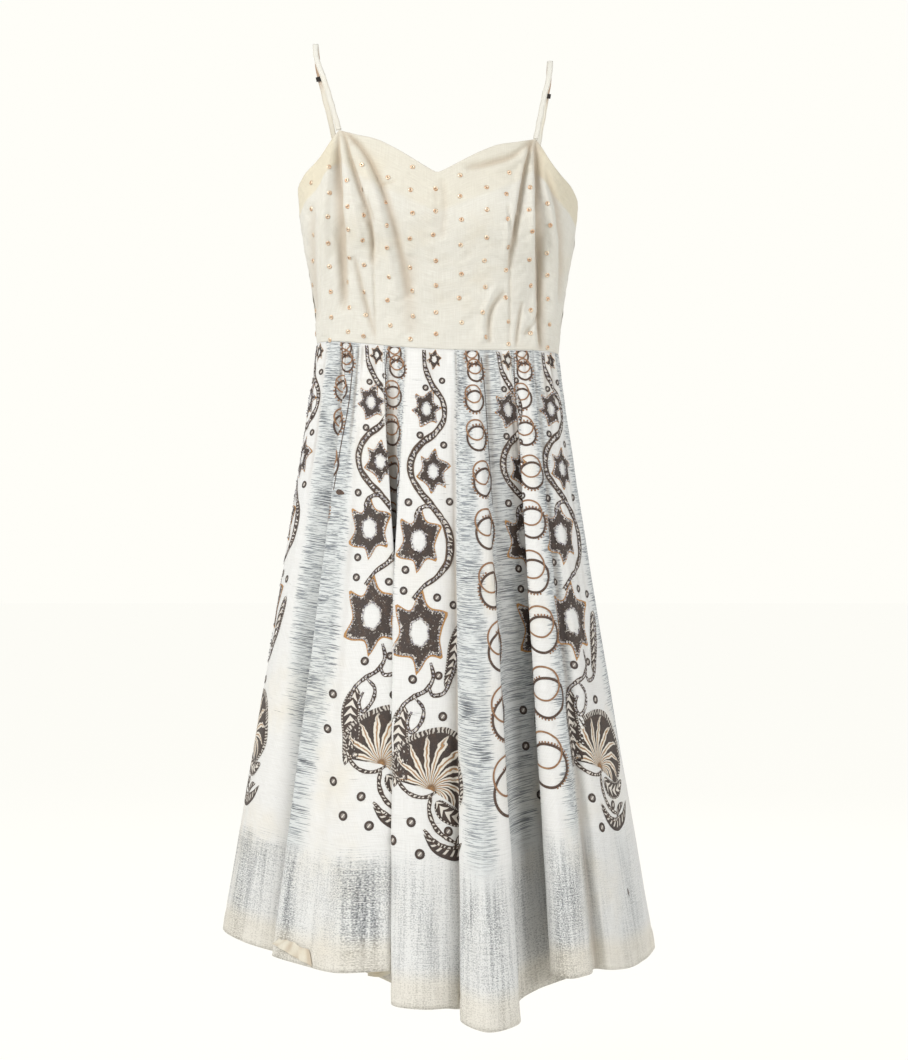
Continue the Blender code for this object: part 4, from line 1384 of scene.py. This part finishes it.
# name, width at most (mm), points
VINES = (
    ("vine",        7.4, (-10, 2), (-9, 20), (0, 42), (12, 60), (13, 80), (3, 96), (-12, 108),
                         (-23, 124), (-24, 144), (-14, 162), (0, 178), (13, 196), (19, 218),
                         (17, 240), (6, 256), (-10, 268), (-21, 282)),
    ("top hook",    5.0, (6, 184), (-6, 178), (-16, 184), (-19, 196)),
    ("low stem",    5.0, (-1, 350), (2, 366), (-6, 380), (-20, 388), (-32, 398), (-38, 412)),
    ("low ring",    4.4, (-18, 389), (-9, 400), (-12, 416), (-23, 426), (-27, 416), (-22, 404)),
    ("right hook",  5.0, (34, 312), (30, 342), (22, 366), (12, 384), (1, 385), (-3, 373)),
    ("gold stem",   4.4, (-42, 462), (-36, 480), (-22, 492), (-6, 494), (6, 488)),
    ("foot stem",   5.2, (0, 492), (-2, 508), (4, 524), (16, 536), (30, 542)),
    ("foot curl",   4.6, (-8, 528), (4, 540), (18, 547), (36, 546)),
)
# where the vine is brushed out broad
SWELLS = (
    ("upper swell", 8.0, (-12, 108), (-21, 120), (-25, 134), (-22, 150), (-13, 163)),
    ("lower swell", 10.0, (12, 190), (19, 206), (21, 223), (18, 241), (8, 256)),
)
# name, width (mm), points along the spine
FEATHERS = (
    ("left feather",  23, (-30, 398), (-37, 424), (-36, 452), (-43, 486)),
    ("right feather", 17, (34, 306), (28, 330), (24, 352), (15, 376)),
    ("foot petal",    20, (6, 498), (18, 511), (36, 515), (54, 507)),
)
CRESCENTS = (
    ("foot crescent", 15, (-8, 533), (6, 547), (26, 553), (46, 547), (60, 532)),
    ("foot thorn",     8, (26, 546), (38, 535), (50, 532)),
)
FANS = ((0, 486, 66, 0.38),)
DOT_SIZE = 1.18             # every radius below is multiplied by this

# x and y (mm) and radius
DOTS = (
    (11, 36, 3.2), (-8, 45, 3.2), (-14, 99, 3.6), (13, 109, 3.6), (-27, 175, 4.0), (20, 172, 3.8),
    (-30, 250, 4.0), (-32, 273, 4.0), (6, 279, 4.0), (25, 286, 4.0), (-21, 369, 4.3), (8, 364, 4.0),
    (13, 408, 4.4), (-31, 474, 4.3), (-58, 505, 4.6), (-22, 521, 4.6), (20, 530, 4.5),
    (-44, 542, 4.8), (-12, 554, 4.8), (-66, 448, 4.4), (-60, 408, 4.4),
)
CROWDED = (2,)              # garlands with no room for the dots
CROWDED_LEFT = -40          # that lie further left than this (mm)
GARLANDS = range(-2, REPEATS - 2)
print(len(FLOWERS), "flowers and", len(DOTS), "dots in each of", len(GARLANDS), "garlands")


# %% Lay the garlands
def taper(width):
    """A width with thin ends, and a swell that comes and goes along the stem."""
    def at(share):
        ends = np.sin(math.pi * np.clip(share, 0.02, 0.98)) ** 0.5
        swell = 0.22 * np.sin(4.2 * math.pi * share) ** 2 + 0.07 * np.sin(31 * math.pi * share)
        return width * (0.42 + 0.48 * ends + swell)
    return at


flowers, vines, feathers, crescents, fans, dots = (Strokes() for _ in range(6))
for garland in GARLANDS:
    for x, y, size, turn in FLOWERS:
        flower(flowers, garland, x, y, size, turn)
    for _, width, *line in VINES:
        ribbon(vines, garland, line, taper(width), lift=1.3 * PAINT)
    for _, width, *line in SWELLS:
        ribbon(vines, garland, line, leaf_width(width), lift=1.6 * PAINT)
    for _, width, *line in FEATHERS:
        ribbon(feathers, garland, line, leaf_width(width), rows=5)
    for _, width, *line in CRESCENTS:
        ribbon(crescents, garland, line, leaf_width(width, 1.0, 0.9), rows=4)
    for x, y, size, turn in FANS:
        fan_leaf(fans, garland, x, y, size, turn)
    for x, y, size in DOTS:
        if x > CROWDED_LEFT or garland not in CROWDED:
            disc(dots, garland, x, y, DOT_SIZE * size)
print("garlands are laid")

# %% [markdown]
# ## Paint and its fine marks
# The dark paint is a warm near-black that has worn a little on the raised threads.  Each
# mark was edged by hand: a thin gold line round the flowers, pale dashes along the vines,
# barbs in the feathered leaves and rays in the fan.  They are drawn from the stroke map.

# %% Paint materials
PAINT_DARK = rgb(60, 51, 47)
PAINT_WARM = rgb(84, 66, 54)
PALE_MARK = rgb(226, 220, 210)
GOLD = rgb(176, 132, 82)


def paint(name, marks, base=PAINT_DARK, worn=PAINT_WARM):
    """A worn and speckled paint; marks is the function that draws its fine marks."""
    graph = Graph(name, base, Roughness=0.62, Specular_IOR_Level=0.35)
    place = graph.place()
    patches = graph.noise(place, 160.0, 3.0, 0.6)
    grain = graph.noise(place, 1100.0, 2.0, 0.6)
    graph.coat(patches.step(0.45, 0.7) * 0.55, worn)
    graph.coat(grain.step(0.60, 0.72) * 0.35, rgb(150, 142, 134))
    marks(graph, *graph.uv("stroke"))
    return graph.done(grain, 0.5, 0.3 * MM)


def tooth(value):
    """A wave that falls from 1 to 0 and back once for each whole number."""
    return abs(value.math("FRACT") - 0.5) * 2.0


def flower_marks(graph, _, share):
    """Pale splashes at the eye and below the rim, and a thin gold edge."""
    splash = graph.noise(graph.place(), 420.0, 3.0, 0.65)
    near_rim = share.step(0.58, 0.78) * share.step(0.90, 0.84)
    near = near_rim * 0.15 + share.step(0.22, 0.02) * 0.20
    graph.coat((splash + near).step(0.655, 0.69) * 0.9, PALE_MARK)
    graph.coat((share + (splash - 0.5) * 0.06).step(0.87, 0.89), GOLD)


def vine_marks(graph, along, across):
    """Pale beads along the middle and a paler brown edge."""
    wander = graph.noise(graph.place(), 130.0, 2.0)
    beads = tooth(along / 5.2 + across * 0.35 + (wander - 0.5) * 2.4)
    side = abs(across)
    inner = (side + (wander - 0.5) * 0.9).step(0.58, 0.38)
    graph.coat(beads.step(0.56, 0.66) * inner * 0.85, PALE_MARK)
    edge = side.step(0.80, 0.90)
    graph.coat(edge * 0.35, rgb(150, 118, 86))


def feather_marks(graph, along, across):
    """Barbs that slope back from the spine, and a beaded rim."""
    side = abs(across)
    barbs = tooth(along / 9.0 - side * 1.1)
    pale = (barbs - side * 0.95).step(0.26, 0.32) * side.step(0.72, 0.62)
    graph.coat(pale * 0.92, PALE_MARK)
    beads = tooth(along / 3.2)
    rim = side.step(0.80, 0.86) * side.step(0.99, 0.94)
    graph.coat(rim * beads.step(0.5, 0.6) * 0.8, PALE_MARK)


def crescent_marks(graph, along, across):
    """Barbs along one side."""
    barbs = tooth(along / 8.0 + across * 0.5)
    pale = barbs.step(0.62, 0.70) * across.step(0.55, 0.30) * across.step(-0.75, -0.55)
    graph.coat(pale * 0.85, PALE_MARK)


def fan_marks(graph, angle, share):
    """Pale blades between gold ribs, and a beaded rim."""
    wander = graph.noise(graph.place(), 90.0, 2.0)
    # the ribs leave the middle one near the root and bend outwards
    bent = (angle + (1.0 - share) * 0.24) / (share * 0.42 + 0.58)
    ribs = tooth(bent * 4.1 + (wander - 0.5) * 0.6)
    length = graph.noise(graph.vector(angle * 4.0, 5.0), 1.0, 1.0) * 0.7 + 0.72
    blade = (ribs - share * share * length).step(0.08, 0.15)
    reach = share.step(0.06, 0.12) * share.step(0.92, 0.84)
    graph.coat(blade * reach * 0.9, rgb(234, 227, 214))
    thin = (share + 0.06) ** -1.0 * 0.055
    fade = share.step(0.90, 0.70)
    line = (ribs + thin * 1.7).step(0.98, 1.02) * fade
    graph.coat(line * 0.8, PAINT_WARM)
    spine = (ribs + thin).step(0.98, 1.02) * fade
    graph.coat(spine * 0.9, GOLD)
    beads = tooth(angle * 26.0 + (wander - 0.5) * 3.0)
    rim = share.step(0.90, 0.92) * beads.step(0.50, 0.60)
    graph.coat(rim * 0.7, PALE_MARK)


def dot_marks(graph, turn, share):
    """A grey middle that stands for a sequin, with a painted highlight across it."""
    graph.coat(share.step(0.56, 0.42) * 0.75, rgb(152, 145, 140))
    # a painted highlight: a pale streak across the grey middle, as a glint on a sequin
    beside = abs((turn * (2 * math.pi) - 0.8).math("SINE") * share)
    painted_highlight = beside.step(0.16, 0.08) * share.step(0.50, 0.42)
    graph.coat(painted_highlight * 0.9, PALE_MARK)


for name, strokes, marks in (("flower", flowers, flower_marks), ("vine", vines, vine_marks),
                             ("feather", feathers, feather_marks), ("crescent", crescents, crescent_marks),
                             ("fan", fans, fan_marks), ("dot", dots, dot_marks)):
    strokes.join("painted_" + name + "s", paint(name + "_paint", marks))

# %% [markdown]
# ## Chains of loops
# Between the garlands hangs a chain of looped lines, each a dark ring and a gold one that
# cross.  They start small and close together at the waist and grow downwards, so a formula
# places them.  Little dots of gold paint stand along the outside of some rings.

# %% The chains
LOOPS = 10
GOLD_DOT = 1.2              # radius of a gold dot (mm)
DOTS_OUTSIDE = 2.2          # and how far it stands outside its ring (mm)
# spots of dark paint beside two garlands: name, garland, width and points (mm)
STAINS = (
    ("blot", -1, 6.0, (-56, 178), (-51, 177), (-45, 178)),
    ("nick",  2, 2.4, (29, 627), (30, 631), (31, 636)),
)


def loop_place(step):
    """Height below the waist and radius of a loop (mm)."""
    return 8 + 17.5 * step ** 1.5, 7.5 + 1.75 * step


def ring_line(x, y, wide, tall, turn):
    """Twelve points round a leaning ellipse, and the first one again."""
    angle = np.linspace(0, 2 * math.pi, 13)
    flat = paired(wide * np.cos(angle), tall * np.sin(angle))
    turned = np.array([[math.cos(turn), math.sin(turn)], [-math.sin(turn), math.cos(turn)]])
    return flat @ turned + (x, y)


dark_lines, gold_lines, gold_dots = Strokes(), Strokes(), Strokes()
draw = np.random.default_rng(5)
for garland in GARLANDS:
    chain = garland + 0.5
    for step in range(LOOPS):
        y, size = loop_place(step)
        sway = 3.0 * math.sin(1.9 * step) + draw.uniform(-1, 1)
        lean = draw.uniform(-0.35, 0.35)
        dark = ring_line(sway, y, size, size * 1.05, lean)
        gold = ring_line(sway - 0.12 * size, y - 0.75 * size, size * 0.86, size * 0.9, lean - 0.5)
        line = 2.2 + 0.11 * step
        ribbon(dark_lines, chain, dark, line)
        ribbon(gold_lines, chain, gold, line * 0.7, lift=1.5 * PAINT)
        out = size + DOTS_OUTSIDE
        for bearing in np.arange(-1.9, 1.3, 3.4 / size) + (0 if step % 2 else math.pi):
            disc(gold_dots, chain, sway + out * math.cos(bearing), y + out * math.sin(bearing) * 1.05,
                 GOLD_DOT, 6)
    # thin stems tie the loops together down one side, left and right in turn
    side = -1 if garland % 2 else 1
    stem = [loop_place(step) for step in np.arange(0, 5, 0.5)]
    ribbon(dark_lines, chain, [(side * (4 + 0.8 * size), y) for y, size in stem], 1.1)
for _, garland, width, *line in STAINS:
    ribbon(dark_lines, garland, line, leaf_width(width))


def line_marks(graph, along, _):
    """Pale gaps where the brush ran dry."""
    gaps = graph.noise(graph.vector(along * 0.35, 3.0))
    graph.coat(gaps.step(0.62, 0.75) * 0.5, rgb(190, 180, 168))


dark_look = paint("dark_line_paint", line_marks, rgb(74, 58, 50), rgb(104, 78, 60))
gold_look = paint("gold_line_paint", line_marks, rgb(140, 104, 76), rgb(176, 140, 104))
dark_lines.join("painted_loops", dark_look)
gold_lines.join("painted_gold_loops", gold_look)
gold_dots.join("painted_gold_dots", gold_look)

# %% [markdown]
# ## Sequins
# Two kinds are sewn on: small silvery ones round the flowers and down the vines, and cupped
# bronze ones in rows over the bodice.  A sequin is a shallow cup with fewer than a hundred
# faces, modelled once as rings of points; each copy gets its own tilt, drawn from a seed,
# because that is what makes them sparkle one by one.

# %% Sequins
# a sequin's rings, from its rim up over the cup to its hole and back underneath: radius and
# height, as shares of its radius
SILVER_CUP = ((1.0, 0.06), (0.62, 0.187), (0.16, 0.068), (0.9, 0.0))
BRONZE_CUP = ((1.0, 0.02), (0.97, 0.10), (0.62, 0.231), (0.16, 0.084), (0.16, 0.0), (0.9, 0.0))


def sow(name, spots, size, look, sides, rings, tilt, seed):
    """Join one cup for each spot: its place, its normal and a direction along the cloth."""
    places, normals, ways = (some[:, None] for some in spots)
    draw = np.random.default_rng(seed)
    count, high = len(places), len(rings)
    normals = unit(normals + draw.normal(0, tilt, normals.shape))
    ways = unit(ways - normals * np.sum(ways * normals, axis=-1, keepdims=True))
    angle = np.linspace(0, 2 * math.pi, sides, endpoint=False)
    around = np.cos(angle)[:, None] * ways + np.sin(angle)[:, None] * np.cross(normals, ways)
    levels = [places + size * (radius * around + height * normals) for radius, height in rings]
    points = np.stack(levels, axis=1)
    pairs = paired(angle / (2 * math.pi), np.array(rings)[None, :, :1] + np.zeros((count, 1, 1)))
    index = np.arange(high * sides).reshape(high, sides)
    below = np.roll(index, -1, axis=0)
    quads = np.stack([below, np.roll(below, -1, axis=1), np.roll(index, -1, axis=1), index], axis=-1)
    faces = (quads.reshape(-1, 4) + (np.arange(count) * high * sides)[:, None, None]).reshape(-1, 4)
    mesh_piece(name, points, faces, pairs, look)
    print(name, count, "sequins,", 2 * len(faces), "triangles")


def sequin_look(name, base, other, metallic, roughness):
    """Metal of two tones with a dark hole and fine scratches."""
    graph = Graph(name, base, Metallic=metallic, Roughness=roughness)
    _, radius = graph.uv("stroke")
    graph.coat(graph.noise(graph.place(), 300.0, 1.0).step(0.4, 0.6), other)
    graph.coat(radius.step(0.34, 0.20) * 0.8, rgb(80, 56, 44))
    return graph.done(graph.noise(graph.place(), 2600.0), 0.2, 0.2 * MM)


def sequin_line(line, gap):
    """Places (mm) every gap along a closed or open line."""
    points, _, at = curve(line, 200)
    wanted = np.arange(gap / 2, at[-1], gap)
    return paired(*(np.interp(wanted, at, values) for values in points.T))


SILVER_GAP = 3.3            # mm between two sequins round a flower's rim
SILVER_RINGS = ((0.84, 1.0), (0.05, 0.9))   # share of the way from eye to rim, and of the gap
SILVER_VINES = 5            # only the first of the vines have sequins
SILVER_LIFT = 2.2 * PAINT
marks = []
for x, y, size, turn in FLOWERS[1:]:
    for share, gap in SILVER_RINGS:
        rim = flower_points(x, y, size, turn, np.linspace(0, 2 * math.pi, 61), share)
        marks.append(sequin_line(paired(*rim), SILVER_GAP * gap))
for _, _, *line in VINES[:SILVER_VINES]:
    marks.append(sequin_line(line, SILVER_GAP * 1.25))
x, y = np.concatenate(marks).T
print(len(x), "silver sequins in one garland")

spots = []
for garland in GARLANDS:
    at = on_skirt(garland, x, y, SILVER_LIFT)
    over = on_skirt(garland, x, y, SILVER_LIFT + MM)
    beside = on_skirt(garland, x + 1.5, y, SILVER_LIFT)
    spots.append((at, unit(over - at), beside - at))
silver = sequin_look("silver_sequins", rgb(214, 212, 214), rgb(150, 146, 156), 0.85, 0.28)
sow("skirt_sequins", [np.concatenate(some) for some in zip(*spots)], 1.25 * MM, silver,
    sides=6, rings=SILVER_CUP, tilt=0.35, seed=3)

# %% Bronze sequins on the bodice
BRONZE_GAP = 27.5           # mm between two sequins of a column
BRONZE_ROWS = 9
BACK_LOWER = 24             # the back's columns start this much lower (mm)
UNDER_PLACKET = 16 * MM     # nothing is sewn this near to the centre back
# x and the height of the first sequin of each column (mm)
SEQUIN_COLUMNS = (
    (-139, -166), (-118, -150), (-97, -168), (-78, -150), (-50, -164), (-24, -152),
    (4, -176), (32, -160), (60, -176), (86, -158), (112, -172), (134, -188),
)


def bodice_spot(net, x, z):
    """The net's point nearest to x and z in the front view, its normal, its way and its distance."""
    points = net.points
    away = np.hypot(points[..., 0] - x, points[..., 2] - z)
    nearest = np.unravel_index(np.argmin(away), away.shape)
    row, column = (int(np.clip(at, 1, size - 2)) for at, size in zip(nearest, away.shape))
    way = unit(points[row, column + 1] - points[row, column - 1])
    return points[row, column], net.normals[row, column], way, away.min()


spots = []
draw = np.random.default_rng(8)
for name, (net, _) in bodice_nets.items():
    behind = name != "front"
    for x, top in SEQUIN_COLUMNS:
        for step in range(BRONZE_ROWS):
            at_x = (x + draw.uniform(-2, 2)) * MM
            at_z = (top - BACK_LOWER * behind - BRONZE_GAP * step + draw.uniform(-2.5, 2.5)) * MM
            point, normal, way, away = bodice_spot(net, at_x, at_z)
            waist = WAIST_Z - LEAN * (at_x - CENTRE_X)
            hidden = behind and abs(at_x - CENTRE_X) < UNDER_PLACKET
            if away < 3 * MM and at_z > waist + 2 * MM and not hidden:
                spots.append((point + normal * 0.25 * MM, normal, way))
bronze = sequin_look("bronze_sequins", rgb(196, 160, 130), rgb(222, 204, 180), 0.6, 0.36)
sow("bodice_sequins", [np.array(some) for some in zip(*spots)], 2.75 * MM, bronze,
    sides=14, rings=BRONZE_CUP, tilt=0.06, seed=4)

# %% [markdown]
# ## Straps, slides and placket
# A strap is a narrow tube of the bodice's cotton, pressed flat and stitched along both
# edges.  It runs from the neckline's corner over its top to the back edge, and a small dark
# slide on its back stretch sets its length.  A plain strip covers the centre-back opening.

# %% Straps
STRAP_FRONT_END = 0.2 * MM  # a strap's ends stand this far over the edges they are sewn to
STRAP_THICK = 1.2 * MM
STRAP_COLUMNS = 9
STRAP_ROWS = 160


def strap_line(side):
    """Middle line of a strap, from the neckline's corner over its top to the back edge."""
    sign = -1 if side == "left" else 1
    ends = []
    for turn in (STRAP_ANGLE, STRAP_BACK_ANGLE if sign > 0 else 360 - STRAP_BACK_ANGLE):
        turn = np.array(turn if turn > 90 else sign * turn)
        ends.append(Vector(bodice(turn, top_edge(turn)[0])))
    front = ends[0] + Vector((0, WALL / 2, STRAP_FRONT_END))
    back = ends[1] + Vector((0, -WALL / 2, STRAP_FRONT_END))
    x, z = STRAP_TOP[side]
    crest = [Vector((x, STRAP_ARCH * math.sin(turn), z - STRAP_ARCH * (1 - math.cos(turn))))
             for turn in np.radians((-65, -33, 0, 33, 65))]
    stations = [front, front.lerp(crest[0], 0.5)] + crest + [crest[-1].lerp(back, 0.5), back]
    gaps = [0.0] + [(b - a).length for a, b in zip(stations, stations[1:])]
    return np.cumsum(gaps), np.array(stations)


def make_strap(side):
    """A strap's sheet, laid along its middle line."""
    places, stations = strap_line(side)
    length = places[-1]
    at = np.linspace(0, length, STRAP_ROWS)
    middle = smooth(at, places, stations)
    heading = unit(np.gradient(middle, axis=0))
    sideways = unit(np.array([1.0, 0, 0]) - heading * heading[:, :1])
    out = np.cross(heading, sideways)
    share = np.linspace(-0.5, 0.5, STRAP_COLUMNS)
    crown = STRAP_THICK / 2 * (1 - (2 * np.abs(share)) ** 4 * 0.45)
    wander = 0.25 * MM * ripples(at / MM, 0 * at, 30, 30, 41)
    beside = share * STRAP_WIDTH + wander[:, None]
    points = middle[:, None] + sideways[:, None] * beside[..., None] - out[:, None] * crown[:, None]
    thread = paired(share * STRAP_WIDTH, at[:, None])
    pattern = paired(share, at[:, None] / length)
    name = "strap_" + side
    nets = (some[::-1] for some in (points, thread, pattern))
    piece = sheet(name + "_cloth", *nets, strap_look, name, STRAP_THICK)
    declare(name)
    print(name, "is", round(length, 3), "m long")


def strap_cotton():
    """Cream cotton, browner over the top of the strap, and stitched along both edges."""
    graph = Graph("strap_cotton", CREAM_BASE, Roughness=0.85, Sheen_Weight=0.12)
    threads, slubs = weave(graph)
    share, along = graph.uv("pattern")
    age(graph, rgb(236, 220, 186), rgb(222, 214, 196))
    # browner around the middle of the strap's length, near its top
    graph.coat(abs(along - 0.5).step(0.10, 0.02) * 0.8, rgb(176, 138, 108))
    edge = abs(abs(share) - 0.36).step(0.05, 0.02)
    stitch = tooth(along * 130.0).step(0.3, 0.4)
    graph.coat(edge * stitch * 0.35, rgb(190, 172, 140))
    return graph.done(threads * 0.3 + slubs - edge * 1.5, 0.6, 0.4 * MM)


strap_look = strap_cotton()
for side in ("left", "right"):
    make_strap(side)


# %% Placket
PLACKET_WIDTH = 22 * MM
PLACKET_LIFT = 1.0 * MM
PLACKET_WAIST = 0.6         # share of its length that lies over the bodice
PLACKET_END = 0.16          # share of the skirt's length that the rest covers


def placket_net():
    """A strip over the centre back, from the top edge to below the waist."""
    offset, down = np.meshgrid(np.linspace(0.5, -0.5, 15) * PLACKET_WIDTH, np.linspace(0, 1, 120))
    half_width = RINGS[0][2] * MM
    swing = np.arcsin(np.abs(offset / half_width) ** (SQUARE / 2))
    turn = 180 - np.degrees(np.sign(offset) * swing)
    up = 1 - np.clip(down / PLACKET_WAIST, 0, 1)
    top, waist = top_edge(turn)[0], waist_height(turn)
    on_bodice = bodice(turn, waist + (top - waist) * up)
    row = BACK_MIDDLE + (turn - 180) * BACK_FOLDS * BACK_FOLD_ROWS / 180
    below = np.clip((down - PLACKET_WAIST) / (1 - PLACKET_WAIST), 0, 1)
    on_back = skirt(row, below * PLACKET_END)
    return Net(np.where((down < PLACKET_WAIST)[..., None], on_bodice, on_back))


net = placket_net()
net.push(PLACKET_LIFT + 0.35 * MM * ripples(net.arcs / MM, net.points[..., 2] / MM, 30, 40, 51))
pattern = paired(net.arcs, 0.0)
piece = sheet("back_placket_cloth", net.points, threads_of(net), pattern, plain, "back_placket")
declare("back_placket")
print("placket", round(float(net.arcs[0, -1] / MM), 1), "mm wide")


# %% Slides
lacquer = Graph("slide_lacquer", rgb(38, 34, 32), Metallic=0.4, Roughness=0.35)
wear = lacquer.noise(lacquer.place(), 900.0, 3.0)
lacquer.coat(wear.step(0.55, 0.7), rgb(96, 84, 72))
slide_look = lacquer.done(wear, 0.2, 0.2 * MM)
for side in ("left", "right"):
    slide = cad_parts["strap_slide_" + side]
    slide.data.materials.clear()
    slide.data.materials.append(slide_look)
print("slides are lacquered")

# %% Sizes and finish
low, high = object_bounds()
print("dress", [round(b - a, 3) for a, b in zip(low, high)], "m")
